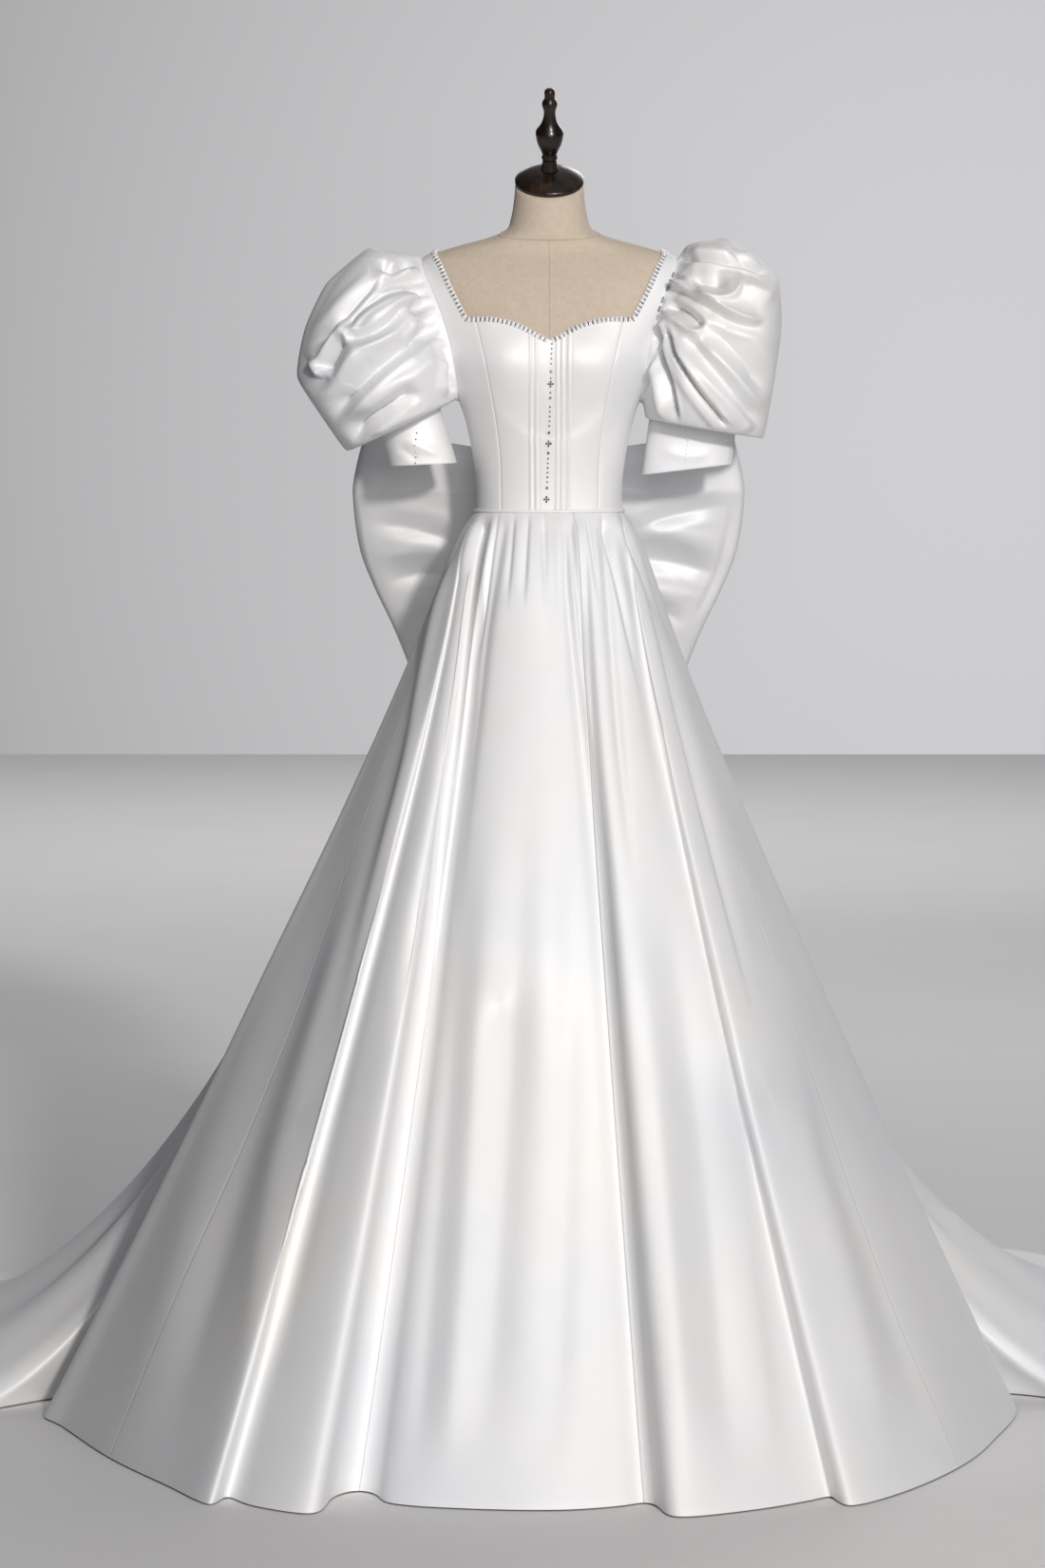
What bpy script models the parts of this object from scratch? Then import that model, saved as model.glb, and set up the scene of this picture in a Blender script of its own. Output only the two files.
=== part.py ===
"""Satin gown with puffed sleeves, a bow at the back waist and a train, worn by a limbless dress form.

Metres, +Z up, the gown facing -Y and the wearer's left at +X.
The origin is the centre of the base's underside, where the form stands on the floor.
"""
import math

import bmesh
import bpy
from mathutils import Matrix, Vector

# Cloth sizes
CLOTH = 0.0018            # wall of the bodice, sleeves, cuffs and bow
SKIRT_CLOTH = 0.0020      # wall of the skirt, whose hem is turned up
SEAM_GAP = 0.0003         # between two pieces at a seam
EASE = 0.0022             # between the form and the inside of the cloth
SHOULDER_EASE = 0.0009    # the same where the straps rest on the shoulders
SHOULDER_FROM = 1.600
SHOULDER_TO = 1.640
GUARD = 0.003             # narrow strip beside a seam, which keeps both walls' edges parallel

# Heights of the gown on the form
WAIST_Z = 1.2903
ARMHOLE_Z = 1.545
ARMHOLE_HALF = 0.100
ARMHOLE_TURN = 30.0       # how far the armhole reaches round the front and the back, in degrees
ARMHOLE_POWER = 0.8
# Angles down the armhole from the underarm at 180 to the shoulder, shared by panels and sleeves
ARMHOLE_ANGLES = (180, 162, 144, 126, 108, 90, 72, 54, 36, 27, 18, 9, 0)
ARMHOLE_SPLIT = 90        # below this angle a panel's inner border is a seam, above it a strap
SLEEVE_COLUMNS = 40
CUFF_COLUMNS = 20

# Level sections of the form: height, half width, front depth, back depth, power
FORM_SECTIONS = (
    (0.950, 0.1400, 0.095, 0.115, 2.2),
    (1.010, 0.1470, 0.100, 0.121, 2.2),
    (1.085, 0.1470, 0.098, 0.121, 2.2),
    (1.160, 0.1310, 0.090, 0.109, 2.2),
    (1.230, 0.1090, 0.081, 0.094, 2.3),
    (1.290, 0.1000, 0.0775, 0.085, 2.4),
    (1.340, 0.1005, 0.080, 0.086, 2.4),
    (1.395, 0.1095, 0.088, 0.091, 2.4),
    (1.430, 0.1185, 0.096, 0.095, 2.4),
    (1.462, 0.1310, 0.103, 0.099, 2.4),
    (1.500, 0.1450, 0.107, 0.103, 2.4),
    (1.530, 0.1550, 0.104, 0.105, 2.4),
    (1.560, 0.1650, 0.096, 0.106, 2.4),
    (1.590, 0.1740, 0.085, 0.105, 2.4),
    (1.615, 0.1810, 0.073, 0.101, 2.4),
    (1.632, 0.1830, 0.063, 0.094, 2.3),
    (1.645, 0.1780, 0.055, 0.084, 2.2),
    (1.655, 0.1580, 0.050, 0.076, 2.1),
    (1.665, 0.1250, 0.049, 0.071, 2.0),
    (1.675, 0.0880, 0.050, 0.067, 2.0),
    (1.686, 0.0620, 0.050, 0.061, 2.0),
    (1.702, 0.0545, 0.049, 0.055, 2.0),
    (1.728, 0.0500, 0.048, 0.050, 2.0),
    (1.752, 0.0480, 0.0440, 0.0445, 2.0),
)
FORM_TURNS = 36
FORM_STEP = 0.042         # most height between two rings of the torso
BUST_RISE = 0.011         # soft fullness on each side of the chest
BUST_X = 0.066
BUST_Z = 1.497
BUST_SPREAD = 0.044

# Head of the form: a domed wooden cap and a turned finial, leaning forward with the neck's top
CAP_TILT = math.radians(28.0)
CAP_LEAN_START = 1.690
CAP_RADIUS = 0.0482
CAP_EDGE = 0.0065
CAP_DOME = 0.0150
CAP_RINGS = 5
# Finial outline: radius, height above the cap's crown
FINIAL_PROFILE = (
    (0.0000, 0.1235),
    (0.0045, 0.1222),
    (0.0074, 0.1185),
    (0.0072, 0.1085),
    (0.0096, 0.1045),
    (0.0108, 0.1000),
    (0.0098, 0.0945),
    (0.0082, 0.0885),
    (0.0088, 0.0795),
    (0.0122, 0.0690),
    (0.0192, 0.0585),
    (0.0188, 0.0490),
    (0.0166, 0.0390),
    (0.0118, 0.0275),
    (0.0102, 0.0225),
    (0.0112, 0.0180),
    (0.0098, 0.0125),
    (0.0125, 0.0000),
    (0.0000, 0.0000),
)

# Stand
POLE_RADIUS = 0.016
BASE_RADIUS = 0.180
BASE_HEIGHT = 0.020
BASE_BEVEL = 0.006
TURNED_STEPS = 32         # sides of the cap, pole and base
FINIAL_STEPS = 16

# Bodice
NECKLINE = (              # across from the centre, height: half of the sweetheart edge
    (0.000, 1.5294),
    (0.016, 1.5375),
    (0.045, 1.5515),
    (0.080, 1.5600),
    (0.1055, 1.5610),
    (0.1300, 1.5610),
)
PRINCESS = (              # height, across: the seam from the waist to the neckline
    (1.270, 0.0690),
    (1.360, 0.0700),
    (1.414, 0.0758),
    (1.455, 0.0822),
    (1.496, 0.0900),
    (1.527, 0.0970),
    (1.561, 0.1055),
)
STRAP_INNER = (           # armhole angle, turn in degrees and height of the strap's front inner edge
    (0, 90.0, 1.6558),
    (9, 72.5, 1.6520),
    (18, 59.5, 1.6450),
    (27, 53.0, 1.6350),
    (36, 48.7, 1.6200),
    (54, 44.4, 1.5930),
    (72, 41.8, 1.5755),
    (90, 39.5, 1.5615),
)
BACK_STRAP_INNER = (      # the same on the back, down to the level back neckline
    (0, 90.0, 1.6558),
    (9, 100.0, 1.6520),
    (18, 109.0, 1.6460),
    (27, 115.0, 1.6360),
    (36, 120.0, 1.6200),
    (54, 125.0, 1.5930),
    (72, 127.0, 1.5755),
    (90, 128.5, 1.5600),
)
TUCK_RISE = 0.0012
TUCK_HALF = 0.0028
TUCKS = (                 # across at the neckline, across at the waist
    (-0.0280, -0.0265),
    (-0.0194, -0.0185),
    (0.0112, 0.0100),
    (0.0190, 0.0175),
    (0.0284, 0.0262),
)
FRONT_COLUMNS = (-1.0, -0.75, -0.52)  # beside the tucks, as shares of the way out to the seam
BODICE_LOW_ROWS = (0.0, 0.02, 0.24, 0.50, 0.76, 1.0)
UNDERARM_DIP = 0.015      # how far the last full row passes under the armhole
# Strips across a side front and across a back, beside the guards: under the strap and beside it
STRAP_COLUMNS = 3
SIDE_COLUMNS = 2
BACK_COLUMNS = 5
STRAP_FOOT = 0.45         # share of the panel's width under the strap at the waist

# Sleeve rings from the armhole to the cuff. The outer point is the top and outside of the ring,
# the inner point is at the underarm.
# share along the sleeve, outer x, outer z, inner x, inner z, front depth, back depth
SLEEVE_RINGS = {
    "right": (
        (0.00, 0.186, 1.646, 0.1255, 1.446, 0.060, 0.060),
        (0.08, 0.222, 1.661, 0.1315, 1.443, 0.086, 0.080),
        (0.18, 0.262, 1.660, 0.1330, 1.441, 0.106, 0.094),
        (0.29, 0.303, 1.624, 0.1345, 1.439, 0.122, 0.104),
        (0.40, 0.336, 1.568, 0.1360, 1.436, 0.130, 0.108),
        (0.50, 0.354, 1.508, 0.1375, 1.433, 0.130, 0.107),
        (0.59, 0.354, 1.463, 0.1395, 1.430, 0.125, 0.102),
        (0.68, 0.330, 1.423, 0.1415, 1.427, 0.113, 0.092),
        (0.78, 0.294, 1.379, 0.1445, 1.424, 0.092, 0.078),
        (0.84, 0.278, 1.374, 0.1475, 1.424, 0.078, 0.068),
        (0.92, 0.255, 1.388, 0.1515, 1.430, 0.058, 0.056),
        (1.00, 0.239, 1.412, 0.1545, 1.436, 0.046, 0.046),
    ),
    "left": (
        (0.00, 0.186, 1.646, 0.1255, 1.446, 0.060, 0.060),
        (0.08, 0.208, 1.668, 0.1315, 1.443, 0.084, 0.080),
        (0.18, 0.250, 1.673, 0.1325, 1.441, 0.104, 0.094),
        (0.29, 0.293, 1.648, 0.1333, 1.438, 0.118, 0.104),
        (0.40, 0.325, 1.606, 0.1340, 1.435, 0.126, 0.108),
        (0.50, 0.330, 1.550, 0.1346, 1.432, 0.127, 0.106),
        (0.59, 0.325, 1.495, 0.1350, 1.428, 0.122, 0.101),
        (0.68, 0.315, 1.440, 0.1355, 1.424, 0.112, 0.092),
        (0.78, 0.303, 1.391, 0.1365, 1.418, 0.092, 0.076),
        (0.84, 0.292, 1.386, 0.1380, 1.416, 0.078, 0.066),
        (0.92, 0.277, 1.396, 0.1400, 1.417, 0.052, 0.050),
        (1.00, 0.265, 1.414, 0.1420, 1.424, 0.033, 0.033),
    ),
}
SLEEVE_ROWS = (0.0, 0.03, 0.11, 0.21, 0.33, 0.46, 0.58, 0.69, 0.78, 0.86, 1.0)
SLEEVE_ROOT = 0.03        # share that stands straight up from the armhole's edge
SLEEVE_ROOT_RISE = 0.005
SLEEVE_BLEND = 0.10       # share at which the armhole's shape has turned into the ring's
SLEEVE_POWER = 2.3
# Folds of a sleeve: turn at the armhole, turn at the end of the fold, where it starts, where it
# ends, half width in degrees, rise (a trough is negative)
SLEEVE_FOLDS = {
    "right": (
        (18.0, 12.0, 0.00, 0.62, 11.0, 0.010),
        (34.0, 33.0, 0.00, 0.66, 7.0, -0.014),
        (48.0, 52.0, 0.00, 0.70, 10.0, 0.012),
        (62.0, 74.0, 0.00, 0.74, 8.0, -0.013),
        (78.0, 92.0, 0.00, 0.76, 10.0, 0.011),
        (96.0, 112.0, 0.05, 0.78, 8.0, -0.010),
        (118.0, 132.0, 0.10, 0.80, 12.0, 0.008),
        (215.0, 225.0, 0.05, 0.72, 12.0, 0.008),
        (240.0, 252.0, 0.00, 0.74, 9.0, -0.010),
        (268.0, 275.0, 0.00, 0.72, 12.0, 0.010),
        (296.0, 300.0, 0.00, 0.70, 9.0, -0.012),
        (322.0, 328.0, 0.00, 0.66, 12.0, 0.010),
        (345.0, 348.0, 0.00, 0.60, 8.0, -0.010),
    ),
    "left": (
        (12.0, 8.0, 0.00, 0.55, 10.0, 0.008),
        (35.0, 42.0, 0.02, 0.42, 13.0, -0.014),
        (54.0, 62.0, 0.00, 0.55, 9.0, 0.010),
        (66.0, 86.0, 0.00, 0.74, 8.0, -0.014),
        (80.0, 104.0, 0.00, 0.78, 8.0, 0.012),
        (92.0, 122.0, 0.00, 0.78, 7.0, -0.012),
        (108.0, 140.0, 0.02, 0.80, 9.0, 0.009),
        (216.0, 224.0, 0.05, 0.72, 12.0, 0.008),
        (242.0, 250.0, 0.00, 0.74, 9.0, -0.010),
        (270.0, 276.0, 0.00, 0.72, 12.0, 0.010),
        (298.0, 302.0, 0.00, 0.70, 9.0, -0.012),
        (324.0, 329.0, 0.00, 0.66, 12.0, 0.010),
        (345.0, 348.0, 0.00, 0.60, 8.0, -0.009),
    ),
}

# Cuffs: outer x, outer z, inner x, inner z, half depth at the top edge, then the same at the hem
CUFFS = {
    "right": ((0.2390, 1.412, 0.1545, 1.436, 0.046), (0.2270, 1.353, 0.1310, 1.358, 0.048)),
    "left": ((0.2650, 1.414, 0.1420, 1.424, 0.033), (0.2600, 1.356, 0.1315, 1.341, 0.033)),
}
CUFF_ROWS = (0.0, 0.5, 1.0)

# Skirt stations round the gown, from the centre back past the wearer's right to the centre back.
# turn of the waist in degrees, hem x, hem y, landing x, landing y, flow, lift
# Flow is 0 where the cloth falls straight to its hem and 1 where it sweeps along the floor from
# the landing. Lift is the height of a ridge there.
SKIRT_STATIONS = (
    (-180.0, 0.000, 1.450, 0.000, 0.650, 1.0, 0.000),
    (-172.0, -0.160, 1.455, -0.095, 0.710, 1.0, 0.034),
    (-163.0, -0.330, 1.415, -0.185, 0.615, 1.0, 0.000),
    (-154.0, -0.490, 1.375, -0.300, 0.670, 1.0, 0.030),
    (-146.0, -0.640, 1.300, -0.360, 0.560, 1.0, 0.000),
    (-138.0, -0.790, 1.215, -0.475, 0.585, 1.0, 0.034),
    (-131.0, -0.920, 1.100, -0.515, 0.465, 1.0, 0.000),
    (-126.0, -1.030, 0.945, -0.600, 0.465, 1.0, 0.030),
    (-121.5, -1.100, 0.760, -0.585, 0.375, 1.0, 0.000),
    (-117.0, -1.145, 0.540, -0.635, 0.330, 1.0, 0.028),
    (-113.0, -1.140, 0.300, -0.620, 0.270, 1.0, 0.000),
    (-109.5, -1.075, 0.060, -0.630, 0.230, 1.0, 0.016),
    (-106.0, -0.960, -0.085, -0.620, 0.195, 1.0, 0.004),
    (-103.0, -0.850, -0.060, -0.620, 0.170, 0.9, 0.000),
    (-100.0, -0.765, 0.020, -0.620, 0.140, 0.7, 0.000),
    (-97.0, -0.700, 0.075, -0.620, 0.105, 0.4, 0.000),
    (-94.0, -0.650, 0.045, -0.630, 0.045, 0.0, 0.000),
    (-90.0, -0.723, -0.055, -0.723, -0.055, 0.0, 0.000),
    (-87.0, -0.694, -0.121, -0.694, -0.121, 0.0, 0.000),
    (-82.0, -0.604, -0.346, -0.604, -0.346, 0.0, 0.000),
    (-77.0, -0.510, -0.527, -0.510, -0.527, 0.0, 0.000),
    (-72.0, -0.446, -0.642, -0.446, -0.642, 0.0, 0.000),
    (-69.0, -0.428, -0.590, -0.428, -0.590, 0.0, 0.000),
    (-66.0, -0.396, -0.642, -0.396, -0.642, 0.0, 0.000),
    (-58.0, -0.310, -0.693, -0.310, -0.693, 0.0, 0.000),
    (-53.0, -0.290, -0.560, -0.290, -0.560, 0.0, 0.000),
    (-49.0, -0.255, -0.521, -0.255, -0.521, 0.0, 0.000),
    (-46.0, -0.226, -0.550, -0.226, -0.550, 0.0, 0.000),
    (-42.0, -0.217, -0.628, -0.217, -0.628, 0.0, 0.000),
    (-27.0, -0.137, -0.659, -0.137, -0.659, 0.0, 0.000),
    (-4.0, 0.010, -0.672, 0.010, -0.672, 0.0, 0.000),
    (11.0, 0.108, -0.640, 0.108, -0.640, 0.0, 0.000),
    (15.0, 0.118, -0.585, 0.118, -0.585, 0.0, 0.000),
    (19.0, 0.137, -0.642, 0.137, -0.642, 0.0, 0.000),
    (24.0, 0.158, -0.712, 0.158, -0.712, 0.0, 0.000),
    (38.0, 0.262, -0.672, 0.262, -0.672, 0.0, 0.000),
    (53.0, 0.358, -0.600, 0.358, -0.600, 0.0, 0.000),
    (57.0, 0.364, -0.550, 0.364, -0.550, 0.0, 0.000),
    (61.0, 0.388, -0.648, 0.388, -0.648, 0.0, 0.000),
    (67.0, 0.465, -0.567, 0.465, -0.567, 0.0, 0.000),
    (74.0, 0.555, -0.407, 0.555, -0.407, 0.0, 0.000),
    (81.0, 0.612, -0.251, 0.612, -0.251, 0.0, 0.000),
    (90.0, 0.673, 0.020, 0.673, 0.020, 0.0, 0.000),
    (94.0, 0.600, 0.100, 0.580, 0.100, 0.0, 0.000),
    (97.0, 0.645, 0.108, 0.550, 0.122, 0.4, 0.000),
    (100.0, 0.712, 0.080, 0.524, 0.166, 0.7, 0.000),
    (103.0, 0.800, 0.010, 0.538, 0.202, 0.9, 0.000),
    (106.0, 0.920, -0.035, 0.530, 0.230, 1.0, 0.004),
    (109.5, 1.050, 0.080, 0.530, 0.260, 1.0, 0.016),
    (113.0, 1.130, 0.310, 0.515, 0.300, 1.0, 0.000),
    (117.0, 1.150, 0.560, 0.530, 0.355, 1.0, 0.028),
    (121.5, 1.120, 0.800, 0.505, 0.405, 1.0, 0.000),
    (126.0, 1.040, 1.000, 0.530, 0.485, 1.0, 0.030),
    (131.0, 0.930, 1.160, 0.510, 0.475, 1.0, 0.000),
    (138.0, 0.790, 1.275, 0.470, 0.590, 1.0, 0.034),
    (146.0, 0.640, 1.350, 0.355, 0.565, 1.0, 0.000),
    (154.0, 0.490, 1.405, 0.295, 0.675, 1.0, 0.030),
    (163.0, 0.330, 1.435, 0.185, 0.615, 1.0, 0.000),
    (172.0, 0.160, 1.455, 0.095, 0.705, 1.0, 0.034),
    (180.0, 0.000, 1.450, 0.000, 0.650, 1.0, 0.000),
)
# Skirt panels: name, turn of the seam where it starts, turn of the seam where it ends
SKIRT_PANELS = (
    ("skirt_back_right", -180.0, -131.0),
    ("skirt_side_back_right", -131.0, -82.0),
    ("skirt_side_front_right", -82.0, -49.0),
    ("skirt_front", -49.0, 15.0),
    ("skirt_side_front_left", 15.0, 74.0),
    ("skirt_side_back_left", 74.0, 131.0),
    ("skirt_back_left", 131.0, 180.0),
)
SKIRT_ROWS = (0.0, 0.012, 0.045, 0.11, 0.21, 0.33, 0.46, 0.60, 0.74, 0.87, 1.0)
SKIRT_STEP = 0.110        # hem length between two columns
WAIST_STEP = 9.0          # turn of the waist between two columns, in degrees
SKIRT_SEAM_DROP = 0.0003
HEM_Z = 0.0023            # height of the hem's outer face over the floor
FALL_IN = (0.300, 0.640)  # share of the spread at a third and two thirds of a straight fall
FLOW_REACH = 0.60         # share of the way to the landing at the upper handle of a sweeping fall
FLOW_DROP = 0.40          # height of that handle, as a share of the waist's height
HIP_PUFF = 0.010          # roll of the pleats just under the waist seam
HIP_PUFF_AT = 0.045

# Bow at the back waist
KNOT_HALF_WIDTH = 0.030
KNOT_LOW = 1.2940
KNOT_HIGH = 1.3720
KNOT_DEPTH = 0.052
KNOT_EDGE = 0.010
KNOT_SEAT = 0.0004
LOOP_ROOT_GAP = 0.0008
# Round a loop from the knot along its front layer and back along its back layer:
# share of the way, share of the reach, distance behind the knot's front
LOOP_PATH = (
    (0.00, 0.000, 0.020),
    (0.10, 0.160, 0.024),
    (0.25, 0.480, 0.034),
    (0.38, 0.800, 0.046),
    (0.46, 0.965, 0.058),
    (0.50, 1.000, 0.076),
    (0.54, 0.965, 0.094),
    (0.62, 0.800, 0.108),
    (0.75, 0.480, 0.100),
    (0.90, 0.160, 0.066),
    (1.00, 0.000, 0.046),
)
# Outer edge of a loop in the front view: height, reach from the centre
LOOP_REACH = (
    (1.000, 0.180),
    (1.040, 0.200),
    (1.090, 0.219),
    (1.126, 0.234),
    (1.174, 0.256),
    (1.230, 0.276),
    (1.310, 0.285),
    (1.345, 0.281),
    (1.405, 0.266),
)
LOOP_TOP = (1.363, 1.402)       # height of the upper edge at the knot and at the outer fold
LOOP_BOTTOM = (1.303, 1.030)
LOOP_LEAN = 0.46                # how far it leans back per metre below the knot
LOOP_ROWS = 8
LOOP_COLUMNS = 18
# Folds across a loop, fanning from the knot: share down the loop, half width, rise
LOOP_FOLDS = (
    (0.12, 0.07, 0.006),
    (0.30, 0.08, -0.009),
    (0.50, 0.09, 0.010),
    (0.70, 0.08, -0.009),
    (0.86, 0.07, 0.007),
)

COLOURS = {               # colour, roughness, metallic
    "satin": ((0.83, 0.83, 0.84, 1.0), 0.34, 0.0),
    "linen": ((0.62, 0.51, 0.39, 1.0), 0.85, 0.0),
    "dark_wood": ((0.025, 0.014, 0.010, 1.0), 0.22, 0.0),
    "black_metal": ((0.03, 0.03, 0.032, 1.0), 0.35, 0.9),
}
SIDES = {"right": -1.0, "left": 1.0}


def clear_scene():
    """Remove every object of the start-up scene."""
    for item in list(bpy.data.objects):
        bpy.data.objects.remove(item, do_unlink=True)


def make_material(name):
    """Principled material of one of the named finishes."""
    colour, roughness, metallic = COLOURS[name]
    material = bpy.data.materials.get(name) or bpy.data.materials.new(name)
    material.use_nodes = True
    shader = material.node_tree.nodes["Principled BSDF"]
    shader.inputs["Base Color"].default_value = colour
    shader.inputs["Roughness"].default_value = roughness
    shader.inputs["Metallic"].default_value = metallic
    material.diffuse_color = colour
    return material


def place(item, collection, finish):
    """Put a new object in the garment's collection, shaded smooth, with its finish."""
    for other in list(item.users_collection):
        other.objects.unlink(item)
    collection.objects.link(item)
    item.data.materials.clear()
    item.data.materials.append(make_material(finish))
    item.data.shade_smooth()
    return item


def read_table(rows, key):
    """Values of a table's other columns at a value of its first column, on a smooth curve."""
    last = len(rows) - 1
    key = min(max(key, rows[0][0]), rows[last][0])
    index = 0
    while index < last - 1 and key > rows[index + 1][0]:
        index += 1
    low, high = rows[index], rows[index + 1]
    before, after = rows[max(index - 1, 0)], rows[min(index + 2, last)]
    span = high[0] - low[0]
    share = (key - low[0]) / span
    values = []
    for column in range(1, len(low)):
        rise_low = (high[column] - before[column]) / (high[0] - before[0]) * span
        rise_high = (after[column] - low[column]) / (after[0] - low[0]) * span
        values.append(cubic(low[column], high[column], rise_low, rise_high, share))
    return values


def cubic(start, end, slope_start, slope_end, share):
    """Cubic through two values with given slopes."""
    square = share * share
    cube = square * share
    return ((2 * cube - 3 * square + 1) * start + (cube - 2 * square + share) * slope_start
            + (3 * square - 2 * cube) * end + (cube - square) * slope_end)


def mix(low, high, share):
    """Straight mix of two numbers or vectors."""
    return low * (1.0 - share) + high * share


def body_surface(turn, height):
    """Point of the form's surface at a turn in degrees from the front centre."""
    half, front, back, power = read_table(FORM_SECTIONS, height)
    angle = math.radians(turn)
    sine, cosine = math.sin(angle), math.cos(angle)
    bend = 2.0 / power
    x = math.copysign(abs(sine) ** bend, sine) * half
    depth = front if cosine > 0 else back
    y = -math.copysign(abs(cosine) ** bend, cosine) * depth
    if cosine > 0:
        away = ((abs(x) - BUST_X) ** 2 + (height - BUST_Z) ** 2) / BUST_SPREAD ** 2
        y -= BUST_RISE * math.exp(-away) * cosine ** bend
    return Vector((x, y, height))


def body_point(turn, height, offset):
    """Point of the form's surface, moved out along its normal."""
    step = 0.4
    rise = 0.0008
    across = body_surface(turn + step, height) - body_surface(turn - step, height)
    up = body_surface(turn, height + rise) - body_surface(turn, height - rise)
    return body_surface(turn, height) + across.cross(up).normalized() * offset


def ease(height):
    """Distance from the form to the inside of the cloth at a height."""
    share = (height - SHOULDER_FROM) / (SHOULDER_TO - SHOULDER_FROM)
    return mix(EASE, SHOULDER_EASE, min(max(share, 0.0), 1.0))


def turn_at(across, height):
    """Turn in degrees at which the front of the form has a given distance from the centre."""
    half, _, _, power = read_table(FORM_SECTIONS, height)
    share = min(abs(across) / (half + EASE + CLOTH), 1.0)
    return math.copysign(math.degrees(math.asin(share ** (power / 2.0))), across)


def sheet_object(name, rows, closed=False):
    """Open surface through rows of points, all of one length, with None where there is no cloth."""
    mesh_builder = bmesh.new()
    grid = [[point and mesh_builder.verts.new(point) for point in row] for row in rows]
    count = len(rows[0])
    for low, high in zip(grid, grid[1:]):
        for index in range(count if closed else count - 1):
            after = (index + 1) % count
            corners = (low[index], low[after], high[after], high[index])
            if all(corners):
                mesh_builder.faces.new(corners)
    mesh = bpy.data.meshes.new(name)
    mesh_builder.to_mesh(mesh)
    mesh_builder.free()
    return bpy.data.objects.new(name, mesh)


def thicken(item, thickness, outward=False):
    """Give a sheet its cloth thickness, towards its inside unless outward is set."""
    solid = item.modifiers.new("Cloth", "SOLIDIFY")
    solid.thickness = thickness
    solid.offset = 1.0 if outward else -1.0
    return solid


def cloth(name, rows, collection, closed=False, thickness=CLOTH, outward=False):
    """A piece of cloth: a sheet with a thickness."""
    item = place(sheet_object(name, rows, closed), collection, "satin")
    thicken(item, thickness, outward)
    return item


# The dress form

def lean(point):
    """Slope the top of the neck forward, so that it meets the cap's flat underside."""
    top = FORM_SECTIONS[-1][0]
    share = (point.z - CAP_LEAN_START) / (top - CAP_LEAN_START)
    if share > 0:
        point.z += point.y * math.tan(CAP_TILT) * min(share, 1.0)
    return point


def build_torso(collection):
    """Linen torso and neck, closed at the neck's sloping top and at the flat underside."""
    keys = [row[0] for row in FORM_SECTIONS]
    heights = [keys[0]]
    for low, high in zip(keys, keys[1:]):
        steps = math.ceil((high - low) / FORM_STEP)
        heights += [mix(low, high, step / steps) for step in range(1, steps + 1)]
    turns = [360.0 * step / FORM_TURNS for step in range(FORM_TURNS)]
    rows = [[lean(body_surface(turn, height)) for turn in turns] for height in heights]
    item = place(sheet_object("form_torso", rows, closed=True), collection, "linen")
    builder = bmesh.new()
    builder.from_mesh(item.data)
    bmesh.ops.holes_fill(builder, edges=[edge for edge in builder.edges if edge.is_boundary])
    bmesh.ops.recalc_face_normals(builder, faces=builder.faces)
    builder.to_mesh(item.data)
    builder.free()
    item.data.set_sharp_from_angle(angle=math.radians(50))


def turned(name, profile, collection, finish, steps=TURNED_STEPS):
    """Turned shape from a profile of radius and height, which runs from top to bottom."""
    builder = bmesh.new()
    points = [builder.verts.new((radius, 0.0, height)) for radius, height in profile]
    for upper, lower in zip(points, points[1:]):
        builder.edges.new((upper, lower))
    mesh = bpy.data.meshes.new(name)
    builder.to_mesh(mesh)
    builder.free()
    item = place(bpy.data.objects.new(name, mesh), collection, finish)
    screw = item.modifiers.new("Turn", "SCREW")
    screw.steps = steps
    screw.render_steps = steps
    screw.use_merge_vertices = True
    screw.merge_threshold = 0.0001
    return item


def build_head(collection):
    """Domed wooden cap on the neck's sloping top, with the finial on its crown."""
    dome = []
    for step in range(CAP_RINGS + 1):
        share = step / CAP_RINGS
        dome.append((CAP_RADIUS * share, CAP_EDGE + CAP_DOME * (1.0 - share ** 2.4)))
    profile = dome + [(CAP_RADIUS + 0.0006, CAP_EDGE * 0.5), (CAP_RADIUS, 0.0), (0.0, 0.0)]
    cap = turned("form_neck_cap", profile, collection, "dark_wood")
    seat = Vector((0.0, 0.0, FORM_SECTIONS[-1][0]))
    axis = Vector((0.0, -math.sin(CAP_TILT), math.cos(CAP_TILT)))
    cap.location = seat + axis * SEAM_GAP
    cap.rotation_euler.x = CAP_TILT
    crown = CAP_EDGE + CAP_DOME + SEAM_GAP * 2.0
    finial = turned("form_finial", FINIAL_PROFILE, collection, "dark_wood", FINIAL_STEPS)
    finial.location = seat + axis * crown
    finial.rotation_euler.x = CAP_TILT


def build_stand(collection):
    """Pole under the torso and the round base that it stands in."""
    height = FORM_SECTIONS[0][0] - SEAM_GAP - BASE_HEIGHT - SEAM_GAP
    bpy.ops.mesh.primitive_cylinder_add(vertices=TURNED_STEPS, radius=POLE_RADIUS, depth=height)
    pole = place(bpy.context.object, collection, "black_metal")
    pole.name = "form_pole"
    pole.location.z = BASE_HEIGHT + SEAM_GAP + height / 2.0
    pole.data.set_sharp_from_angle(angle=math.radians(40))
    bpy.ops.mesh.primitive_cylinder_add(vertices=TURNED_STEPS, radius=BASE_RADIUS, depth=BASE_HEIGHT)
    base = place(bpy.context.object, collection, "black_metal")
    base.name = "form_base"
    base.location.z = BASE_HEIGHT / 2.0
    rounded = base.modifiers.new("Edge", "BEVEL")
    rounded.width = BASE_BEVEL
    rounded.segments = 2
    rounded.limit_method = "ANGLE"
    base.data.set_sharp_from_angle(angle=math.radians(40))


# The bodice

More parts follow.
